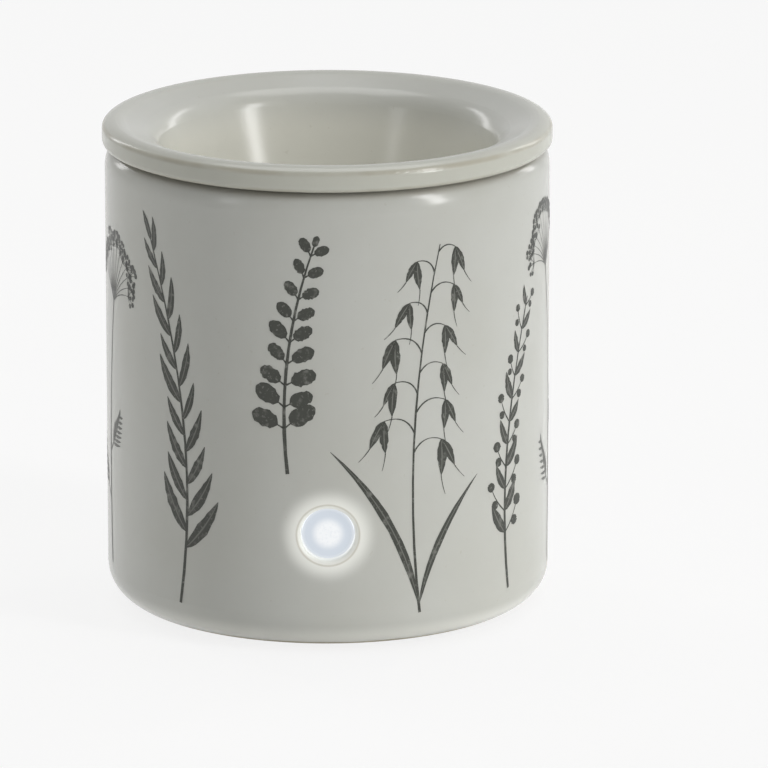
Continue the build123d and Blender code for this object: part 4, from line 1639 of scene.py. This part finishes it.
@dataclass
class HeaterStack:
    """Heat plate, element, pad and pan on their pillars."""

    pad_depth: float = 0.2 * MM

    def dress(self) -> None:
        """Finish the pieces between the deck and the dish."""
        aluminium = Metal("turned_aluminium", (0.80, 0.80, 0.82), roughness=0.32, lay=Lay.TURNED)
        steel = Metal("pressed_steel", (0.56, 0.56, 0.57), roughness=0.40, lay=Lay.BRUSHED)
        fibre = Moulded(
            "fibre_pad",
            (0.78, 0.76, 0.70),
            roughness=0.92,
            grain=500.0,
            contrast=0.3,
            depth=self.pad_depth,
        )
        mica = Moulded("mica_laminate", (0.42, 0.33, 0.22), roughness=0.45, grain=260.0, contrast=0.5)
        dress(aluminium, ["heat_plate"])
        dress(steel, ["heater_pan", "fuse_clip"])
        dress(fibre, ["insulation_pad"])
        dress(mica, ["heating_element"])
        dress(ZINC_PLATE, ["clamp_washer", "clamp_nut", "thermal_fuse", "pan_screws", "pillar_screws"])
        dress(ZINC_PLATE, [f"pillar_{corner}" for corner in CORNERS])


@dataclass
class Electrics:
    """Deck, control board, terminal block and leads."""

    sleeves: Tuple[Tuple[str, Colour, Tuple[str, ...]], ...] = (
        ("sleeve_brown", (0.12, 0.05, 0.02), ("lead_live", "lead_switched")),
        ("sleeve_blue", (0.03, 0.09, 0.35), ("lead_neutral", "lead_return")),
        ("sleeve_white", (0.74, 0.74, 0.71), ("lead_fuse",)),
    )

    def dress(self) -> None:
        """Finish the pieces on the deck."""
        pale = Moulded("pale_plastic", (0.74, 0.73, 0.69), grain=900.0, contrast=0.12)
        dark = Moulded("dark_plastic", (0.03, 0.03, 0.032), roughness=0.46, grain=1000.0, contrast=0.3)
        mask = Board("solder_mask", (0.02, 0.15, 0.06), roughness=0.35)
        film = Moulded("dipped_film", (0.58, 0.10, 0.04), roughness=0.28, grain=200.0, contrast=0.15)
        dress(pale, ["deck", "board_bracket", "board_connector", "terminal_block"])
        dress(dark, ["triac", "controller_chip"])
        dress(mask, ["control_board"])
        dress(film, ["film_capacitor"])
        dress(ZINC_PLATE, ["board_screws", "deck_screws", "terminal_screws"])
        for name, colour, leads in self.sleeves:
            dress(Moulded(name, colour, roughness=0.55, grain=800.0, contrast=0.2), leads)


@dataclass(frozen=True)
class Softbox:
    """A soft lamp at a bearing to the right of the front, facing a height on the warmer's axis."""

    name: str
    bearing: float
    distance: float
    height: float
    width: float
    tall: float
    power: float
    mirrored: bool = True
    aim: float = 0.06
    spread: float = 180.0


def back_box(name: str, bearing: float, power: float) -> Softbox:
    """A tall softbox behind the warmer."""
    return Softbox(name, bearing, distance=2.0, height=0.90, width=0.30, tall=1.20, power=power)


def low_panel(name: str, bearing: float, power: float, spread: float) -> Softbox:
    """A low wide panel for the foot of the wall.

    Args:
        name: name of the lamp.
        bearing: degrees to the right of the front.
        power: its watts.
        spread: opening of its beam, in degrees.

    Returns:
        The lamp, aimed below the floor and not shown in reflections.
    """
    return Softbox(
        name,
        bearing,
        distance=1.3,
        height=0.16,
        width=0.90,
        tall=0.30,
        power=power,
        mirrored=False,
        aim=-0.12,
        spread=spread,
    )


@dataclass
class Studio:
    """Camera at the picture's angle, soft lamps, pale floor and white surroundings."""

    camera_distance: float = 1.8
    camera_height: float = 0.5272
    camera_pitch: float = 0.2594
    camera_turn: float = 0.0071
    camera_reach: float = 50.0
    lens: float = 384.2
    ambient: float = 0.25
    floor_half: float = 6.0
    floor_gap: float = 0.02 * MM
    floor_colour: Colour = (0.93, 0.93, 0.92)
    floor_white: float = 0.84
    boxes: Tuple[Softbox, ...] = (
        Softbox(
            "right_front_box", 58.0, distance=2.0, height=0.90, width=0.30, tall=1.60, power=17.6
        ),
        back_box("right_back_box", 132.0, power=4.4),
        Softbox(
            "left_front_box", -53.0, distance=2.0, height=0.80, width=0.30, tall=0.70, power=1.6
        ),
        back_box("left_back_box", -138.0, power=4.2),
        low_panel("right_panel", 64.0, power=0.34, spread=28.0),
        low_panel("left_panel", -105.0, power=0.22, spread=48.0),
        Softbox("top_panel", 180.0, distance=0.25, height=1.30, width=1.00, tall=0.80, power=4.9),
    )

    def build(self) -> None:
        """Make the camera, lamps, floor and world."""
        scene = bpy.context.scene
        scene.view_settings.view_transform = "Standard"
        self.camera(scene)
        for box in self.boxes:
            self.lamp(scene, box)
        self.floor(scene)
        self.world(scene)

    def camera(self, scene: bpy.types.Scene) -> None:
        """Put the camera where the picture was taken from.

        Args:
            scene: what it is added to.
        """
        data = bpy.data.cameras.new("camera")
        data.lens = self.lens
        data.clip_end = self.camera_reach
        made = bpy.data.objects.new("camera", data)
        made.location = (0.0, -self.camera_distance, self.camera_height)
        made.rotation_euler = (math.pi / 2 - self.camera_pitch, 0.0, -self.camera_turn)
        scene.collection.objects.link(made)
        scene.camera = made

    def lamp(self, scene: bpy.types.Scene, box: Softbox) -> None:
        """Hang one softbox and turn it to the warmer.

        Args:
            scene: what it is added to.
            box: its place, size and power.
        """
        data = bpy.data.lights.new(box.name, "AREA")
        data.shape = "RECTANGLE"
        data.size = box.width
        data.size_y = box.tall
        data.energy = box.power
        data.spread = math.radians(box.spread)
        made = bpy.data.objects.new(box.name, data)
        angle = math.radians(box.bearing)
        made.location = (box.distance * math.sin(angle), -box.distance * math.cos(angle), box.height)
        tilt = math.atan2(box.height - box.aim, box.distance)
        made.rotation_euler = (math.pi / 2 - tilt, 0.0, angle)
        made.visible_glossy = box.mirrored
        scene.collection.objects.link(made)

    def seen_ray(self, graph: Graph) -> Socket:
        """A mask of the rays that show the surroundings: the camera's, reflected and refracted ones.

        Args:
            graph: the nodes that it is added to.

        Returns:
            The mask's socket.
        """
        path = graph.add("ShaderNodeLightPath")
        seen = graph.math("MAXIMUM", path.outputs["Is Camera Ray"], path.outputs["Is Transmission Ray"])
        return graph.math("MAXIMUM", seen, path.outputs["Is Glossy Ray"])

    def floor(self, scene: bpy.types.Scene) -> None:
        """Lay a pale floor that keeps the shadow and shows nearly white.

        Args:
            scene: what it is added to.
        """
        half = self.floor_half
        low = -self.floor_gap
        corners = [[-half, -half, low], [half, -half, low], [half, half, low], [-half, half, low]]
        mesh = bpy.data.meshes.new("floor")
        mesh.from_pydata(corners, [], [[0, 1, 2, 3]])
        made = bpy.data.objects.new("floor", mesh)
        material = bpy.data.materials.new("pale_floor")
        material.use_nodes = True
        material.node_tree.nodes.clear()
        graph = Graph(material.node_tree)
        matte = graph.add("ShaderNodeBsdfDiffuse")
        matte.inputs["Color"].default_value = rgba(self.floor_colour)
        white = graph.add("ShaderNodeEmission")
        seen = graph.add("ShaderNodeMixShader")
        graph.feed(seen.inputs[0], graph.math("MULTIPLY", self.seen_ray(graph), self.floor_white))
        graph.feed(seen.inputs[1], matte.outputs[0])
        graph.feed(seen.inputs[2], white.outputs[0])
        graph.feed(graph.add("ShaderNodeOutputMaterial").inputs["Surface"], seen.outputs[0])
        mesh.materials.append(material)
        scene.collection.objects.link(made)

    def world(self, scene: bpy.types.Scene) -> None:
        """Even light from all round, white to the camera and in reflections.

        Args:
            scene: what it lights.
        """
        made = bpy.data.worlds.new("studio")
        made.use_nodes = True
        made.node_tree.nodes.clear()
        graph = Graph(made.node_tree)
        back = graph.add("ShaderNodeBackground")
        strength = graph.ease(self.seen_ray(graph), 0.0, 1.0, self.ambient, 1.0)
        graph.feed(back.inputs["Strength"], strength)
        graph.feed(graph.add("ShaderNodeOutputWorld").inputs["Surface"], back.outputs[0])
        scene.world = made


def wall_sprigs() -> Tuple[Sprig, ...]:
    """The printed plants, with sizes in millimetres.

    Returns:
        The plants in their order round the wall, each at its distance from the front's middle.
    """
    return (
        UmbelSprig("print_umbel_left", -67.0, foot=11.0, height=62.0, lean=3.0, bow=-3.0, seed=3),
        WillowSprig("print_willow_left", -36.0, foot=9.0, height=82.0, lean=-9.0, bow=7.0, seed=5),
        RoundLeafSprig("print_round_leaf_front", -9.0, foot=42.0, height=52.0, lean=6.0, bow=-3.0, seed=7),
        OatSprig("print_oat_front", 21.0, foot=9.0, height=84.0, lean=5.0, bow=-5.0, seed=11),
        BerrySprig("print_berry_right", 47.0, foot=10.0, height=66.0, lean=8.0, bow=-5.0, seed=13),
        UmbelSprig("print_umbel_right", 72.0, foot=10.0, height=70.0, lean=-4.0, bow=4.0, seed=17),
        WillowSprig("print_willow_right", 100.0, foot=9.0, height=78.0, lean=8.0, bow=-6.0, seed=19),
        RoundLeafSprig("print_round_leaf_back", 128.0, foot=11.0, height=74.0, lean=-6.0, bow=5.0, seed=23),
        OatSprig("print_oat_back", 160.0, foot=21.0, height=72.0, lean=-5.0, bow=5.0, seed=29),
        BerrySprig("print_berry_back", 190.0, foot=10.0, height=70.0, lean=-8.0, bow=6.0, seed=31),
        RoundLeafSprig("print_round_leaf_left", 217.0, foot=10.0, height=70.0, lean=5.0, bow=-5.0, seed=37),
    )


def main() -> None:
    """Build the studio, dress every node and print the wall."""
    logging.basicConfig(level=logging.INFO, format="%(name)s: %(message)s")
    Studio().build()
    for assembly in (CeramicBody(), LitButton(), Underside(), HeaterStack(), Electrics()):
        assembly.dress()
        log.info("finished %s", type(assembly).__name__)
    BotanicalPrint(sprigs=wall_sprigs()).build()


if __name__ == "__main__":
    main()
